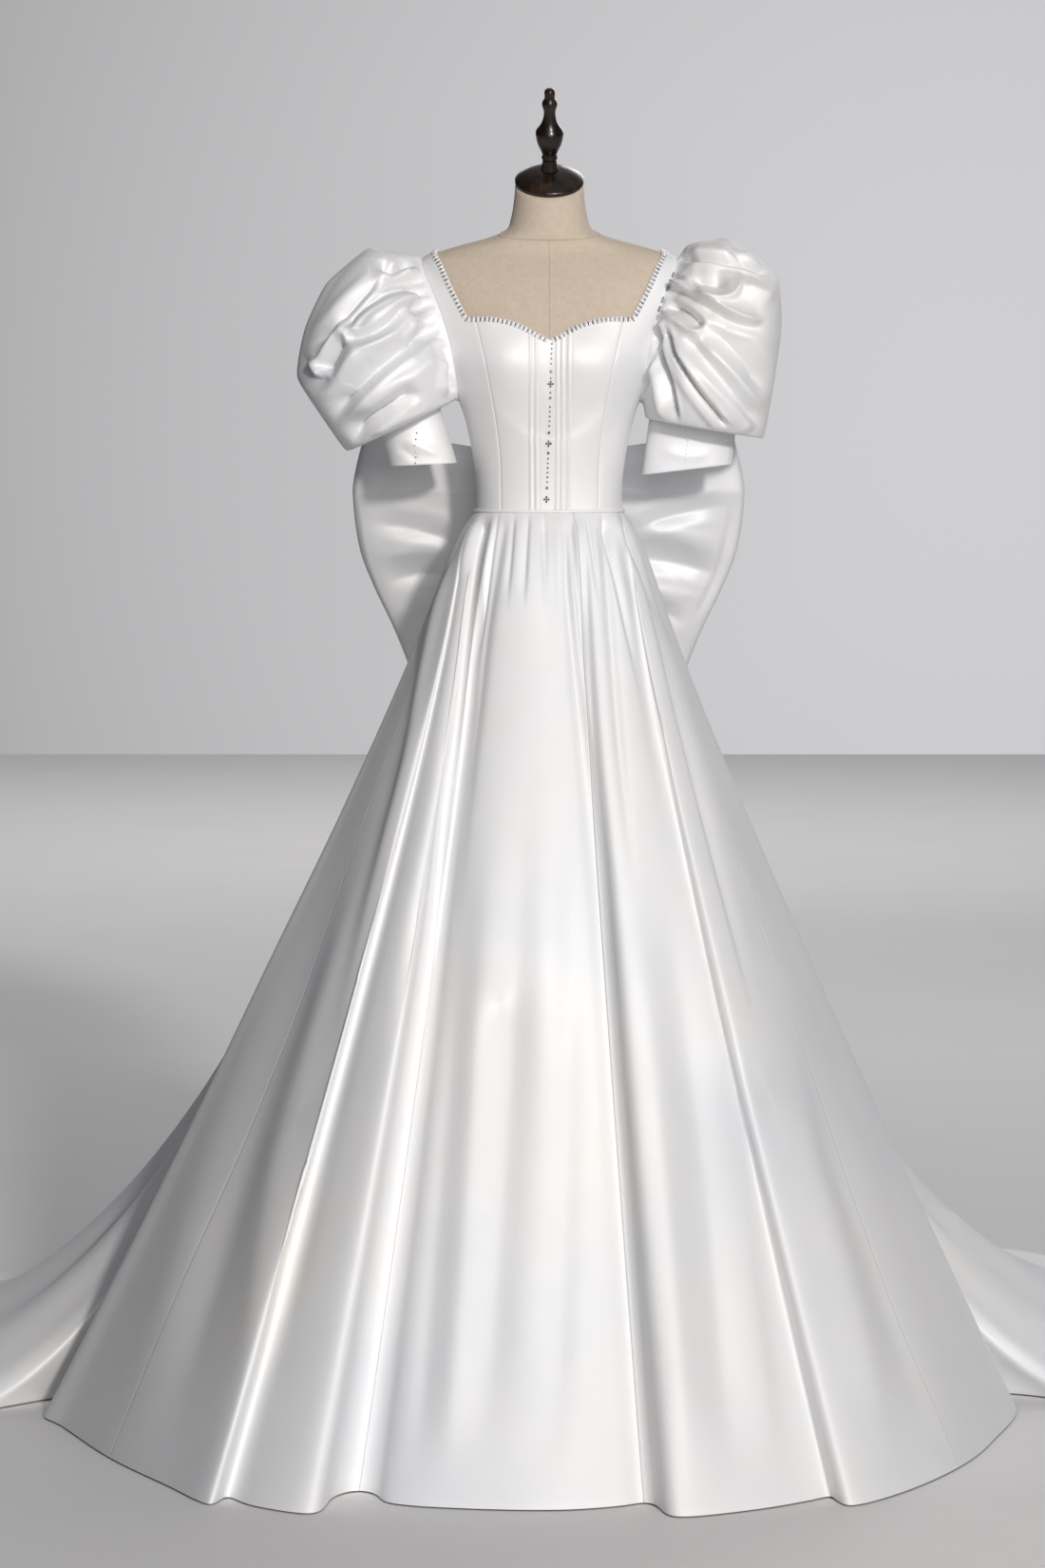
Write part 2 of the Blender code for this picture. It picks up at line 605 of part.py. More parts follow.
def armhole(angle, grown=0.0):
    """Turn and height of the armhole's edge: 0 at the shoulder, 90 at the front, 180 underarm."""
    radians = math.radians(angle)
    height = ARMHOLE_Z + (ARMHOLE_HALF + grown) * math.cos(radians)
    reach = ARMHOLE_TURN * (1.0 + grown / ARMHOLE_HALF)
    reach *= abs(math.sin(radians)) ** ARMHOLE_POWER
    return 90.0 - math.copysign(reach, math.sin(radians)), height


def pull_in(start, end, gap=SEAM_GAP / 2.0):
    """Move a border point into its own piece by half of a seam's gap."""
    return start + (end - start).normalized() * gap


def panel_strips(first, last, strips):
    """Points of a bodice panel between two borders, each a turn and a height, with guards."""
    points = []
    for step in range(strips + 1):
        turn = mix(first[0], last[0], step / strips)
        height = mix(first[1], last[1], step / strips)
        points.append(body_point(turn, height, ease(height)))
    points[0] = pull_in(points[0], points[1])
    points[-1] = pull_in(points[-1], points[-2])
    points.insert(1, pull_in(points[0], points[1], GUARD))
    points.insert(-1, pull_in(points[-1], points[-2], GUARD))
    return points


def low_heights():
    """Heights of a panel's rows from the waist to the underarm."""
    top = ARMHOLE_Z - ARMHOLE_HALF - UNDERARM_DIP
    return [mix(WAIST_Z, top, share) for share in BODICE_LOW_ROWS]


def seam_heights(top):
    """Heights of a seam's rows beside the lower half of the armhole, up to the seam's top."""
    steps = ARMHOLE_ANGLES.index(ARMHOLE_SPLIT)
    low = low_heights()[-1]
    return [mix(low, top, (step + 1) / steps) for step in range(steps)]


def princess(height):
    """Turn and height of the princess seam at a height."""
    return turn_at(read_table(PRINCESS, height)[0], height), height


def centre_back(height):
    """Turn and height of the centre back seam at a height."""
    return 180.0, height


def back_armhole(angle, grown=0.0):
    """Turn and height of the armhole's edge on the back."""
    turn, height = armhole(angle, grown)
    return 180.0 - turn, height


def panel_rows(seam, armhole_edge, strap, columns):
    """Rows of a side front or a back: full rows up to the neckline, then the strap alone."""
    neck = strap[-1][1:]
    inner = [seam(height) for height in low_heights() + seam_heights(neck[1])]
    lower = [None] * (len(low_heights()) - 1)
    angles = lower + [angle for angle in ARMHOLE_ANGLES if angle >= ARMHOLE_SPLIT]
    rows = []
    for level, (first, angle) in enumerate(zip(inner, angles)):
        last = (90.0, first[1]) if angle in (None, 180) else armhole_edge(angle)
        foot = mix(STRAP_FOOT, (neck[0] - last[0]) / (first[0] - last[0]), level / (len(inner) - 1))
        middle = mix(last[0], first[0], foot), mix(last[1], first[1], foot)
        if level == len(inner) - 1:
            middle = neck
        beside = panel_strips(first, middle, columns)
        under = panel_strips(middle, last, STRAP_COLUMNS)
        if angle is not None:
            under[-2:] = armhole_pair(armhole_edge, angle)
        rows.append(beside[:-2] + [mix(beside[-1], under[0], 0.5)] + under[1:])
    for angle in ARMHOLE_ANGLES:
        if angle < ARMHOLE_SPLIT:
            edge = tuple(read_table(strap, angle))
            points = panel_strips(edge, armhole_edge(angle), STRAP_COLUMNS)
            points[-2:] = armhole_pair(armhole_edge, angle)
            rows.append([None] * (columns + 1) + points)
    rows[-1] = [point and pull_in(point, below) for point, below in zip(rows[-1], rows[-2])]
    return rows


def armhole_pair(armhole_edge, angle):
    """The last two points of a row at the armhole: its guard and its edge."""
    pair = []
    for grown in (GUARD, SEAM_GAP / 2.0):
        turn, height = armhole_edge(angle, grown)
        if angle == 180:
            inside = math.degrees(grown / read_table(FORM_SECTIONS, height)[0])
            turn += math.copysign(inside, armhole_edge(ARMHOLE_SPLIT)[0] - 90.0)
        pair.append(body_point(turn, height, ease(height)))
    return pair


def build_side_front(side, collection):
    """Side front with the front of its strap, from the princess seam to the armhole."""
    rows = panel_rows(princess, armhole, STRAP_INNER, SIDE_COLUMNS)
    finish_panel("bodice_side_front_" + side, rows, SIDES[side], collection)


def build_back(side, collection):
    """Back with the back of its strap, from the centre back seam to the armhole."""
    rows = panel_rows(centre_back, back_armhole, BACK_STRAP_INNER, BACK_COLUMNS)
    finish_panel("bodice_back_" + side, rows, -SIDES[side], collection)


def finish_panel(name, rows, order, collection):
    """Turn the rows of the wearer's left to the named side, facing out, and give thickness."""
    mirrored = name.endswith("right")
    turned_rows = []
    for row in rows:
        points = [point and Vector((-point.x, point.y, point.z)) for point in row] if mirrored else row
        turned_rows.append(points if order > 0 else list(reversed(points)))
    cloth(name, turned_rows, collection, outward=True)


def tuck_columns():
    """Columns across the front's middle: its centre line, and each tuck's crest and two feet."""
    columns = [(0.0, 0.0, False)]
    for high, low in TUCKS:
        for side in (-TUCK_HALF, 0.0, TUCK_HALF):
            columns.append((high + side, low + side, side == 0.0))
    return sorted(columns)


def neckline(across):
    """Height of the sweetheart edge."""
    return read_table(NECKLINE, abs(across))[0]


def build_front(collection):
    """Centre front between the princess seams, with its raised tucks and sweetheart edge."""
    heights = low_heights() + seam_heights(PRINCESS[-1][0])
    shares = [(height - WAIST_Z) / (heights[-1] - WAIST_Z) for height in heights]
    tucks = tuck_columns()
    rows, crests = [], set()
    for level, share in enumerate(shares):
        row = []
        for place_share in FRONT_COLUMNS:
            row.append(front_edge_point(place_share, share, heights[level]))
        for column, (high, low, crest) in enumerate(tucks):
            across = mix(low, high, share)
            height = mix(WAIST_Z, neckline(high), share)
            row.append(body_point(turn_at(across, height), height, ease(height)))
            if crest:
                crests.add((level, column + len(FRONT_COLUMNS)))
        for place_share in reversed(FRONT_COLUMNS):
            row.append(front_edge_point(-place_share, share, heights[level]))
        row.insert(1, pull_in(row[0], row[1], GUARD))
        row.insert(-1, pull_in(row[-1], row[-2], GUARD))
        rows.append(row)
    item = place(sheet_object("bodice_front", rows), collection, "satin")
    solid = thicken(item, CLOTH + TUCK_RISE, outward=True)
    group = item.vertex_groups.new(name="tucks")
    width = len(rows[0])
    plain = CLOTH / (CLOTH + TUCK_RISE)
    for index in range(len(item.data.vertices)):
        level, column = divmod(index, width)
        weight = 1.0 if (level, column - 1) in crests else plain
        group.add([index], weight, "REPLACE")
    solid.vertex_group = "tucks"


def front_edge_point(place_share, share, seam_height):
    """Point between a tuck and the princess seam, at a share of the way out to the seam."""
    across = place_share * read_table(PRINCESS, seam_height)[0]
    top = neckline(place_share * PRINCESS[-1][1])
    height = seam_height if abs(place_share) == 1.0 else mix(WAIST_Z, top, share)
    point = body_point(turn_at(across, height), height, ease(height))
    if abs(place_share) == 1.0:
        point = pull_in(point, body_point(turn_at(across * 0.9, height), height, ease(height)))
    return point


# The sleeves and cuffs

def ring_point(ring, angle, side):
    """Point of a sleeve's or cuff's ring: 0 outside, 90 front, 180 underarm, 270 back."""
    outer_x, outer_z, inner_x, inner_z, front, back = ring
    radians = math.radians(angle)
    cosine, sine = math.cos(radians), math.sin(radians)
    bend = 2.0 / SLEEVE_POWER
    along = math.copysign(abs(cosine) ** bend, cosine)
    deep = math.copysign(abs(sine) ** bend, sine)
    x = (outer_x + inner_x) / 2.0 + (outer_x - inner_x) / 2.0 * along
    z = (outer_z + inner_z) / 2.0 + (outer_z - inner_z) / 2.0 * along
    y = -deep * (front if sine > 0 else back)
    return Vector((x * SIDES[side], y, z))


def fold_rise(folds, angle, share):
    """Height of a sleeve's folds at a turn and a share of the sleeve."""
    total = 0.0
    for start_turn, end_turn, start, end, half, rise in folds:
        along = (share - start) / (end - start)
        if not 0.0 <= along <= 1.0:
            continue
        turn = mix(start_turn, end_turn, along)
        away = (angle - turn + 180.0) % 360.0 - 180.0
        fade = math.sin(math.pi * along ** 0.7)
        total += rise * fade * math.exp(-(away / half) ** 2)
    settle = min(max((share - SLEEVE_ROOT) / SLEEVE_BLEND, 0.0), 1.0)
    return total * settle * settle * (3.0 - 2.0 * settle)


def sleeve_point(side, angle, share):
    """Point of a puffed sleeve, before its folds."""
    ring = ring_point(read_table(SLEEVE_RINGS[side], share), angle, side)
    if share < SLEEVE_BLEND:
        rise = min(share / SLEEVE_ROOT, 1.0)
        turn, height = armhole(angle, -SEAM_GAP * (1.0 + rise * 2.0))
        rise *= mix(0.35, 1.0, (1.0 + math.cos(math.radians(angle))) / 2.0)
        root_ease = ease(height) + SEAM_GAP + SLEEVE_ROOT_RISE * rise
        near = body_point(turn * SIDES[side], height, root_ease)
        weight = max(0.0, (share - SLEEVE_ROOT) / (SLEEVE_BLEND - SLEEVE_ROOT))
        ring = mix(near, ring, weight * weight * (3.0 - 2.0 * weight))
    return ring


def folded_sleeve_point(side, angle, share):
    """Point of a puffed sleeve with its folds raised along the surface's normal."""
    point = sleeve_point(side, angle, share)
    rise = fold_rise(SLEEVE_FOLDS[side], angle, share)
    if abs(rise) < 1e-7:
        return point
    low, high = max(share - 0.02, 0.0), min(share + 0.02, 1.0)
    along = sleeve_point(side, angle, high) - sleeve_point(side, angle, low)
    round_ring = sleeve_point(side, angle + 4.0, share) - sleeve_point(side, angle - 4.0, share)
    normal = round_ring.cross(along).normalized() * SIDES[side]
    return point + normal * rise


def build_sleeve(side, collection):
    """Puffed sleeve from the armhole to the cuff, open at both ends."""
    angles = [360.0 * step / SLEEVE_COLUMNS for step in range(SLEEVE_COLUMNS)]
    rows = [[folded_sleeve_point(side, angle, share) for angle in angles] for share in SLEEVE_ROWS]
    for row in rows[:2]:
        for index, angle in enumerate(angles):
            if min(angle, 360.0 - angle) not in ARMHOLE_ANGLES:
                row[index] = mix(row[index - 1], row[(index + 1) % SLEEVE_COLUMNS], 0.5)
    if SIDES[side] < 0:
        rows = [list(reversed(row)) for row in rows]
    cloth("sleeve_" + side, rows, collection, closed=True)


def build_cuff(side, collection):
    """Plain cuff under the puff, open at both ends."""
    top, hem = CUFFS[side]
    rows = []
    for share in CUFF_ROWS:
        values = [mix(high, low, share) for high, low in zip(top, hem)]
        ring = values + [values[-1]]
        angles = [360.0 * step / CUFF_COLUMNS for step in range(CUFF_COLUMNS)]
        if SIDES[side] < 0:
            angles.reverse()
        rows.append([ring_point(ring, angle, side) for angle in angles])
    rows[0] = [pull_in(end, after, SEAM_GAP * 2.0) for end, after in zip(rows[0], rows[1])]
    cloth("cuff_" + side, rows, collection, closed=True)


# The skirt

def hem_lengths():
    """Stations keyed by the length of the hem up to them, and that length at each station."""
    length = 0.0
    keyed = []
    for index, station in enumerate(SKIRT_STATIONS):
        if index:
            before = SKIRT_STATIONS[index - 1]
            length += math.hypot(station[1] - before[1], station[2] - before[2])
        keyed.append((length,) + station)
    return keyed


def fall_handles(waist, station):
    """Two handles of the curve from the waist to the hem."""
    _, hem_x, hem_y, land_x, land_y, flow, lift = station
    hem = Vector((hem_x, hem_y, HEM_Z + lift * 0.4))
    spread = Vector((hem_x - waist.x, hem_y - waist.y, 0.0))
    straight_high = waist + spread * FALL_IN[0]
    straight_low = waist + spread * FALL_IN[1]
    straight_high.z = mix(waist.z, HEM_Z, 1.0 / 3.0)
    straight_low.z = mix(waist.z, HEM_Z, 2.0 / 3.0)
    land = Vector((land_x, land_y, HEM_Z + lift * 1.6))
    sweep_high = mix(waist, land, FLOW_REACH)
    sweep_high.z = waist.z * FLOW_DROP
    return mix(straight_high, sweep_high, flow), mix(straight_low, land, flow), hem


def skirt_point(keyed, length, share):
    """Point of the skirt at a length along the hem and a share of the way down."""
    station = read_table(keyed, length)
    waist = body_point(station[0], WAIST_Z, EASE + CLOTH)
    waist.z = WAIST_Z - SKIRT_SEAM_DROP
    high, low, hem = fall_handles(waist, station)
    rest = 1.0 - share
    point = (waist * rest ** 3 + high * 3.0 * rest * rest * share
             + low * 3.0 * rest * share * share + hem * share ** 3)
    outward = Vector((waist.x, waist.y, 0.0)).normalized()
    puff = HIP_PUFF * share / HIP_PUFF_AT * math.exp(1.0 - share / HIP_PUFF_AT)
    return point + outward * puff


def panel_lengths(keyed, first, last):
    """Lengths along the hem at which a panel has its columns."""
    marks = [row[0] for row in keyed if first <= row[1] <= last]
    lengths = [marks[0]]
    for low, high in zip(marks, marks[1:]):
        turns = [read_table(keyed, mark)[0] for mark in (low, high)]
        steps = max(1, round((high - low) / SKIRT_STEP), round((turns[1] - turns[0]) / WAIST_STEP))
        lengths += [mix(low, high, step / steps) for step in range(1, steps + 1)]
    return lengths


def build_skirt(collection):
    """Skirt panels, each a fan of falls from the waist seam to the hem or the train's edge."""
    keyed = hem_lengths()
    for name, first, last in SKIRT_PANELS:
        lengths = panel_lengths(keyed, first, last)
        rows = []
        for share in SKIRT_ROWS:
            row = [skirt_point(keyed, length, share) for length in lengths]
            row[0] = pull_in(row[0], skirt_point(keyed, lengths[0] + GUARD, share))
            row[-1] = pull_in(row[-1], skirt_point(keyed, lengths[-1] - GUARD, share))
            row.insert(1, skirt_point(keyed, lengths[0] + GUARD * 4.0, share))
            row.insert(-1, skirt_point(keyed, lengths[-1] - GUARD * 4.0, share))
            rows.append(list(reversed(row)))
        cloth(name, rows, collection, thickness=SKIRT_CLOTH)


# The bow

def knot_front():
    """Distance of the knot's front from the centre: just clear of the bodice's back."""
    return body_point(180.0, KNOT_HIGH - KNOT_EDGE, EASE + CLOTH).y + KNOT_SEAT


def loop_point(side, around, down):
    """Point of a bow loop at shares of the way round it and down it."""
    reach_share, behind = read_table(LOOP_PATH, around)
    spread = reach_share ** 0.75 if reach_share > 0 else 0.0
    top = mix(LOOP_TOP[0], LOOP_TOP[1], spread)
    bottom = mix(LOOP_BOTTOM[0], LOOP_BOTTOM[1], spread)
    height = mix(top, bottom, down)
    reach = mix(KNOT_HALF_WIDTH + LOOP_ROOT_GAP, read_table(LOOP_REACH, height)[0], reach_share)
    fold = 0.0
    for middle, half, rise in LOOP_FOLDS:
        fold += rise * math.exp(-((down - middle) / half) ** 2)
    fold *= math.sin(math.pi * min(max(reach_share, 0.0), 1.0)) ** 0.8
    layer = 1.0 if around < 0.5 else -1.0
    back = behind + LOOP_LEAN * max(0.0, KNOT_LOW + 0.02 - height) - fold * layer
    return Vector((reach * SIDES[side], knot_front() + back, height))


def build_loop(side, collection):
    """One loop of the bow: a wide band folded on itself, open above and below."""
    rows = []
    for row_step in range(LOOP_ROWS + 1):
        shares = [step / LOOP_COLUMNS for step in range(LOOP_COLUMNS + 1)]
        if SIDES[side] > 0:
            shares.reverse()
        rows.append([loop_point(side, share, row_step / LOOP_ROWS) for share in shares])
    cloth("bow_loop_" + side, rows, collection)


def build_knot(collection):
    """Knot of the bow, a padded band round the loops' roots."""
    height = KNOT_HIGH - KNOT_LOW
    bpy.ops.mesh.primitive_cube_add(size=1.0)
    knot = place(bpy.context.object, collection, "satin")
    knot.name = "bow_knot"
    size = Vector((KNOT_HALF_WIDTH * 2.0, KNOT_DEPTH, height))
    middle = Vector((0.0, knot_front() + KNOT_DEPTH / 2.0, KNOT_LOW + height / 2.0))
    knot.data.transform(Matrix.Translation(middle) @ Matrix.Diagonal(size.to_4d()))
    rounded = knot.modifiers.new("Round", "BEVEL")
    rounded.width = KNOT_EDGE
    rounded.segments = 3


def main():
    clear_scene()
    collection = bpy.data.collections.new("satin_gown_on_form")
    bpy.context.scene.collection.children.link(collection)
    build_torso(collection)
    build_head(collection)
    build_stand(collection)
    build_front(collection)
    for side in SIDES:
        build_side_front(side, collection)
        build_back(side, collection)
        build_sleeve(side, collection)
        build_cuff(side, collection)
        build_loop(side, collection)
    build_skirt(collection)
    build_knot(collection)


main()
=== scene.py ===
import math

import bmesh
import bpy
import numpy as np
from mathutils import Matrix, Vector


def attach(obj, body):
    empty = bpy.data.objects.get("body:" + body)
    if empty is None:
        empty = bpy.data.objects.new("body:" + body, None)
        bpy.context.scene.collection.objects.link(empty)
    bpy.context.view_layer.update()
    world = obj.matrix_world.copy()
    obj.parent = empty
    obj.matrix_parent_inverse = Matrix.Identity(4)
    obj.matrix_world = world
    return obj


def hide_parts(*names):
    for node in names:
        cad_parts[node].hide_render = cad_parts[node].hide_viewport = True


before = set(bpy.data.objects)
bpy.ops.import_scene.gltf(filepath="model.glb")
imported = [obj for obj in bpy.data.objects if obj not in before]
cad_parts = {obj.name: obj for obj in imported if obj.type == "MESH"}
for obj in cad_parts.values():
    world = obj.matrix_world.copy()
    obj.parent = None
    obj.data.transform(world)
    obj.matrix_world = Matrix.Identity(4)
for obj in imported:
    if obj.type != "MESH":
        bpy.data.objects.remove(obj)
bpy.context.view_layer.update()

MM = 0.001                # the tables that say so are in millimetres, everything else in metres
UP = np.array([0.0, 0.0, 1.0])

# Sizes shared with the solids
CLOTH = 0.0018
THIN = 0.0012             # wall of the cloth as it is shown
SEAM_GAP = 0.0003
EASE = 0.0022             # from the form to the inside of the cloth
SHOULDER_EASE = 0.0009
SHOULDER_FROM = 1.600
SHOULDER_TO = 1.640
WAIST_Z = 1.2903
ARMHOLE_Z = 1.545
ARMHOLE_HALF = 0.100
ARMHOLE_TURN = 30.0
ARMHOLE_POWER = 0.8
FORM_SECTIONS = (         # height, half width, front depth, back depth, power
    (0.950, 0.1400, 0.095, 0.115, 2.2),
    (1.010, 0.1470, 0.100, 0.121, 2.2),
    (1.085, 0.1470, 0.098, 0.121, 2.2),
    (1.160, 0.1310, 0.090, 0.109, 2.2),
    (1.230, 0.1090, 0.081, 0.094, 2.3),
    (1.290, 0.1000, 0.0775, 0.085, 2.4),
    (1.340, 0.1005, 0.080, 0.086, 2.4),
    (1.395, 0.1095, 0.088, 0.091, 2.4),
    (1.430, 0.1185, 0.096, 0.095, 2.4),
    (1.462, 0.1310, 0.103, 0.099, 2.4),
    (1.500, 0.1450, 0.107, 0.103, 2.4),
    (1.530, 0.1550, 0.104, 0.105, 2.4),
    (1.560, 0.1650, 0.096, 0.106, 2.4),
    (1.590, 0.1740, 0.085, 0.105, 2.4),
    (1.615, 0.1810, 0.073, 0.101, 2.4),
    (1.632, 0.1830, 0.063, 0.094, 2.3),
    (1.645, 0.1780, 0.055, 0.084, 2.2),
    (1.655, 0.1580, 0.050, 0.076, 2.1),
    (1.665, 0.1250, 0.049, 0.071, 2.0),
    (1.675, 0.0880, 0.050, 0.067, 2.0),
    (1.686, 0.0620, 0.050, 0.061, 2.0),
    (1.702, 0.0545, 0.049, 0.055, 2.0),
    (1.728, 0.0500, 0.048, 0.050, 2.0),
    (1.752, 0.0480, 0.0440, 0.0445, 2.0),
)
NECK_TOP = FORM_SECTIONS[-1][0]
BUST_RISE = 0.011
BUST_X = 0.066
BUST_Z = 1.497
BUST_SPREAD = 0.044
CAP_TILT = math.radians(28.0)
CAP_LEAN_START = 1.690
CAP_RADIUS = 0.0482
CAP_EDGE = 0.0065
CAP_DOME = 0.0150
CAP_CURVE = 2.4
CAP_ROUND = 0.0006
FINIAL_PROFILE = (        # radius, height above the cap's crown
    (0.0000, 0.1235),
    (0.0045, 0.1222),
    (0.0074, 0.1185),
    (0.0072, 0.1085),
    (0.0096, 0.1045),
    (0.0108, 0.1000),
    (0.0098, 0.0945),
    (0.0082, 0.0885),
    (0.0088, 0.0795),
    (0.0122, 0.0690),
    (0.0192, 0.0585),
    (0.0188, 0.0490),
    (0.0166, 0.0390),
    (0.0118, 0.0275),
    (0.0102, 0.0225),
    (0.0112, 0.0180),
    (0.0098, 0.0125),
    (0.0125, 0.0000),
)
NECKLINE = (              # across from the centre, height
    (0.000, 1.5294),
    (0.016, 1.5375),
    (0.045, 1.5515),
    (0.080, 1.5600),
    (0.1055, 1.5610),
    (0.1300, 1.5610),
)
PRINCESS = (              # height, across
    (1.270, 0.0690),
    (1.360, 0.0700),
    (1.414, 0.0758),
    (1.455, 0.0822),
    (1.496, 0.0900),
    (1.527, 0.0970),
    (1.561, 0.1055),
)
STRAP_INNER = (           # armhole angle, turn in degrees, height
    (0, 90.0, 1.6558),
    (9, 72.5, 1.6520),
    (18, 59.5, 1.6450),
    (27, 53.0, 1.6350),
    (36, 48.7, 1.6200),
    (54, 44.4, 1.5930),
    (72, 41.8, 1.5755),
    (90, 39.5, 1.5615),
)
BACK_STRAP_INNER = (
    (0, 90.0, 1.6558),
    (9, 100.0, 1.6520),
    (18, 109.0, 1.6460),
    (27, 115.0, 1.6360),
    (36, 120.0, 1.6200),
    (54, 125.0, 1.5930),
    (72, 127.0, 1.5755),
    (90, 128.5, 1.5600),
)
TUCKS = (                 # across at the neckline, across at the waist
    (-0.0280, -0.0265),
    (-0.0194, -0.0185),
    (0.0112, 0.0100),
    (0.0190, 0.0175),
    (0.0284, 0.0262),
)
TUCK_RISE = 0.0014
TUCK_HALF = 0.0017
TUCK_DIP = (0.0007, 0.0034, 0.0014)      # depth, distance from the tuck, half width
SEAM_DROP = 0.0006        # drop of the cloth beside a bodice seam
SEAM_SOFT = 0.0022
SIDES = {"right": -1.0, "left": 1.0}
# Sleeves: share along the sleeve, outer x, outer z, inner x, inner z, front depth, back depth
SLEEVE_RINGS = {
    "right": (
        (0.00, 0.186, 1.646, 0.1255, 1.446, 0.060, 0.060),
        (0.08, 0.222, 1.661, 0.1315, 1.443, 0.086, 0.080),
        (0.18, 0.262, 1.660, 0.1330, 1.441, 0.106, 0.094),
        (0.29, 0.303, 1.624, 0.1345, 1.439, 0.122, 0.104),
        (0.40, 0.336, 1.568, 0.1360, 1.436, 0.130, 0.108),
        (0.50, 0.354, 1.508, 0.1375, 1.433, 0.130, 0.107),
        (0.59, 0.354, 1.463, 0.1395, 1.430, 0.125, 0.102),
        (0.68, 0.330, 1.423, 0.1415, 1.427, 0.113, 0.092),
        (0.78, 0.294, 1.379, 0.1445, 1.424, 0.092, 0.078),
        (0.84, 0.278, 1.374, 0.1475, 1.424, 0.078, 0.068),
        (0.92, 0.255, 1.388, 0.1515, 1.430, 0.058, 0.056),
        (1.00, 0.239, 1.412, 0.1545, 1.436, 0.046, 0.046),
    ),
    "left": (
        (0.00, 0.186, 1.646, 0.1255, 1.446, 0.060, 0.060),
        (0.08, 0.208, 1.668, 0.1315, 1.443, 0.084, 0.080),
        (0.18, 0.250, 1.673, 0.1325, 1.441, 0.104, 0.094),
        (0.29, 0.293, 1.648, 0.1333, 1.438, 0.118, 0.104),
        (0.40, 0.325, 1.606, 0.1340, 1.435, 0.126, 0.108),
        (0.50, 0.330, 1.550, 0.1346, 1.432, 0.127, 0.106),
        (0.59, 0.325, 1.495, 0.1350, 1.428, 0.122, 0.101),
        (0.68, 0.315, 1.440, 0.1355, 1.424, 0.112, 0.092),
        (0.78, 0.303, 1.391, 0.1365, 1.418, 0.092, 0.076),
        (0.84, 0.292, 1.386, 0.1380, 1.416, 0.078, 0.066),
        (0.92, 0.277, 1.396, 0.1400, 1.417, 0.052, 0.050),
        (1.00, 0.265, 1.414, 0.1420, 1.424, 0.033, 0.033),
    ),
}
SLEEVE_ROOT = 0.03
SLEEVE_ROOT_RISE = 0.005
SLEEVE_BLEND = 0.10
SLEEVE_POWER = 2.3
# Plain folds: turn at the armhole, turn at the fold's end, share where it starts and ends, half width, rise
SLEEVE_FOLDS = {
    "right": (
        (18.0, 12.0, 0.00, 0.62, 11.0, 0.010),
        (34.0, 33.0, 0.00, 0.66, 7.0, -0.014),
        (48.0, 52.0, 0.00, 0.70, 10.0, 0.012),
        (62.0, 74.0, 0.00, 0.74, 8.0, -0.013),
        (78.0, 92.0, 0.00, 0.76, 10.0, 0.011),
        (96.0, 112.0, 0.05, 0.78, 8.0, -0.010),
        (118.0, 132.0, 0.10, 0.80, 12.0, 0.008),
        (215.0, 225.0, 0.05, 0.72, 12.0, 0.008),
        (240.0, 252.0, 0.00, 0.74, 9.0, -0.010),
        (268.0, 275.0, 0.00, 0.72, 12.0, 0.010),
        (296.0, 300.0, 0.00, 0.70, 9.0, -0.012),
        (322.0, 328.0, 0.00, 0.66, 12.0, 0.010),
        (345.0, 348.0, 0.00, 0.60, 8.0, -0.010),
    ),
    "left": (
        (12.0, 8.0, 0.00, 0.55, 10.0, 0.008),
        (35.0, 42.0, 0.02, 0.42, 13.0, -0.014),
        (54.0, 62.0, 0.00, 0.55, 9.0, 0.010),
        (66.0, 86.0, 0.00, 0.74, 8.0, -0.014),
        (80.0, 104.0, 0.00, 0.78, 8.0, 0.012),
        (92.0, 122.0, 0.00, 0.78, 7.0, -0.012),
        (108.0, 140.0, 0.02, 0.80, 9.0, 0.009),
        (216.0, 224.0, 0.05, 0.72, 12.0, 0.008),
        (242.0, 250.0, 0.00, 0.74, 9.0, -0.010),
        (270.0, 276.0, 0.00, 0.72, 12.0, 0.010),
        (298.0, 302.0, 0.00, 0.70, 9.0, -0.012),
        (324.0, 329.0, 0.00, 0.66, 12.0, 0.010),
        (345.0, 348.0, 0.00, 0.60, 8.0, -0.009),
    ),
}
ARMHOLE_GATHERS = (44, 0.0035, 0.02, 0.34)      # number, depth, share where they start and end
CUFF_GATHERS = (40, 0.0025, 0.00, 0.22)         # the same, from the cuff up
GATHER_SEEDS = {"right": 5, "left": 9}
SLEEVE_GRID = (176, 224)
FRONT_CROWD = 32.0        # degrees by which a sleeve's columns crowd to its front
CUFF_GRID = (26, 120)
# Cuffs: outer x, outer z, inner x, inner z, half depth at the top edge, then the same at the hem
CUFFS = {
    "right": ((0.2390, 1.412, 0.1545, 1.436, 0.046), (0.2270, 1.353, 0.1310, 1.358, 0.048)),
    "left": ((0.2650, 1.414, 0.1420, 1.424, 0.033), (0.2600, 1.356, 0.1315, 1.341, 0.033)),
}
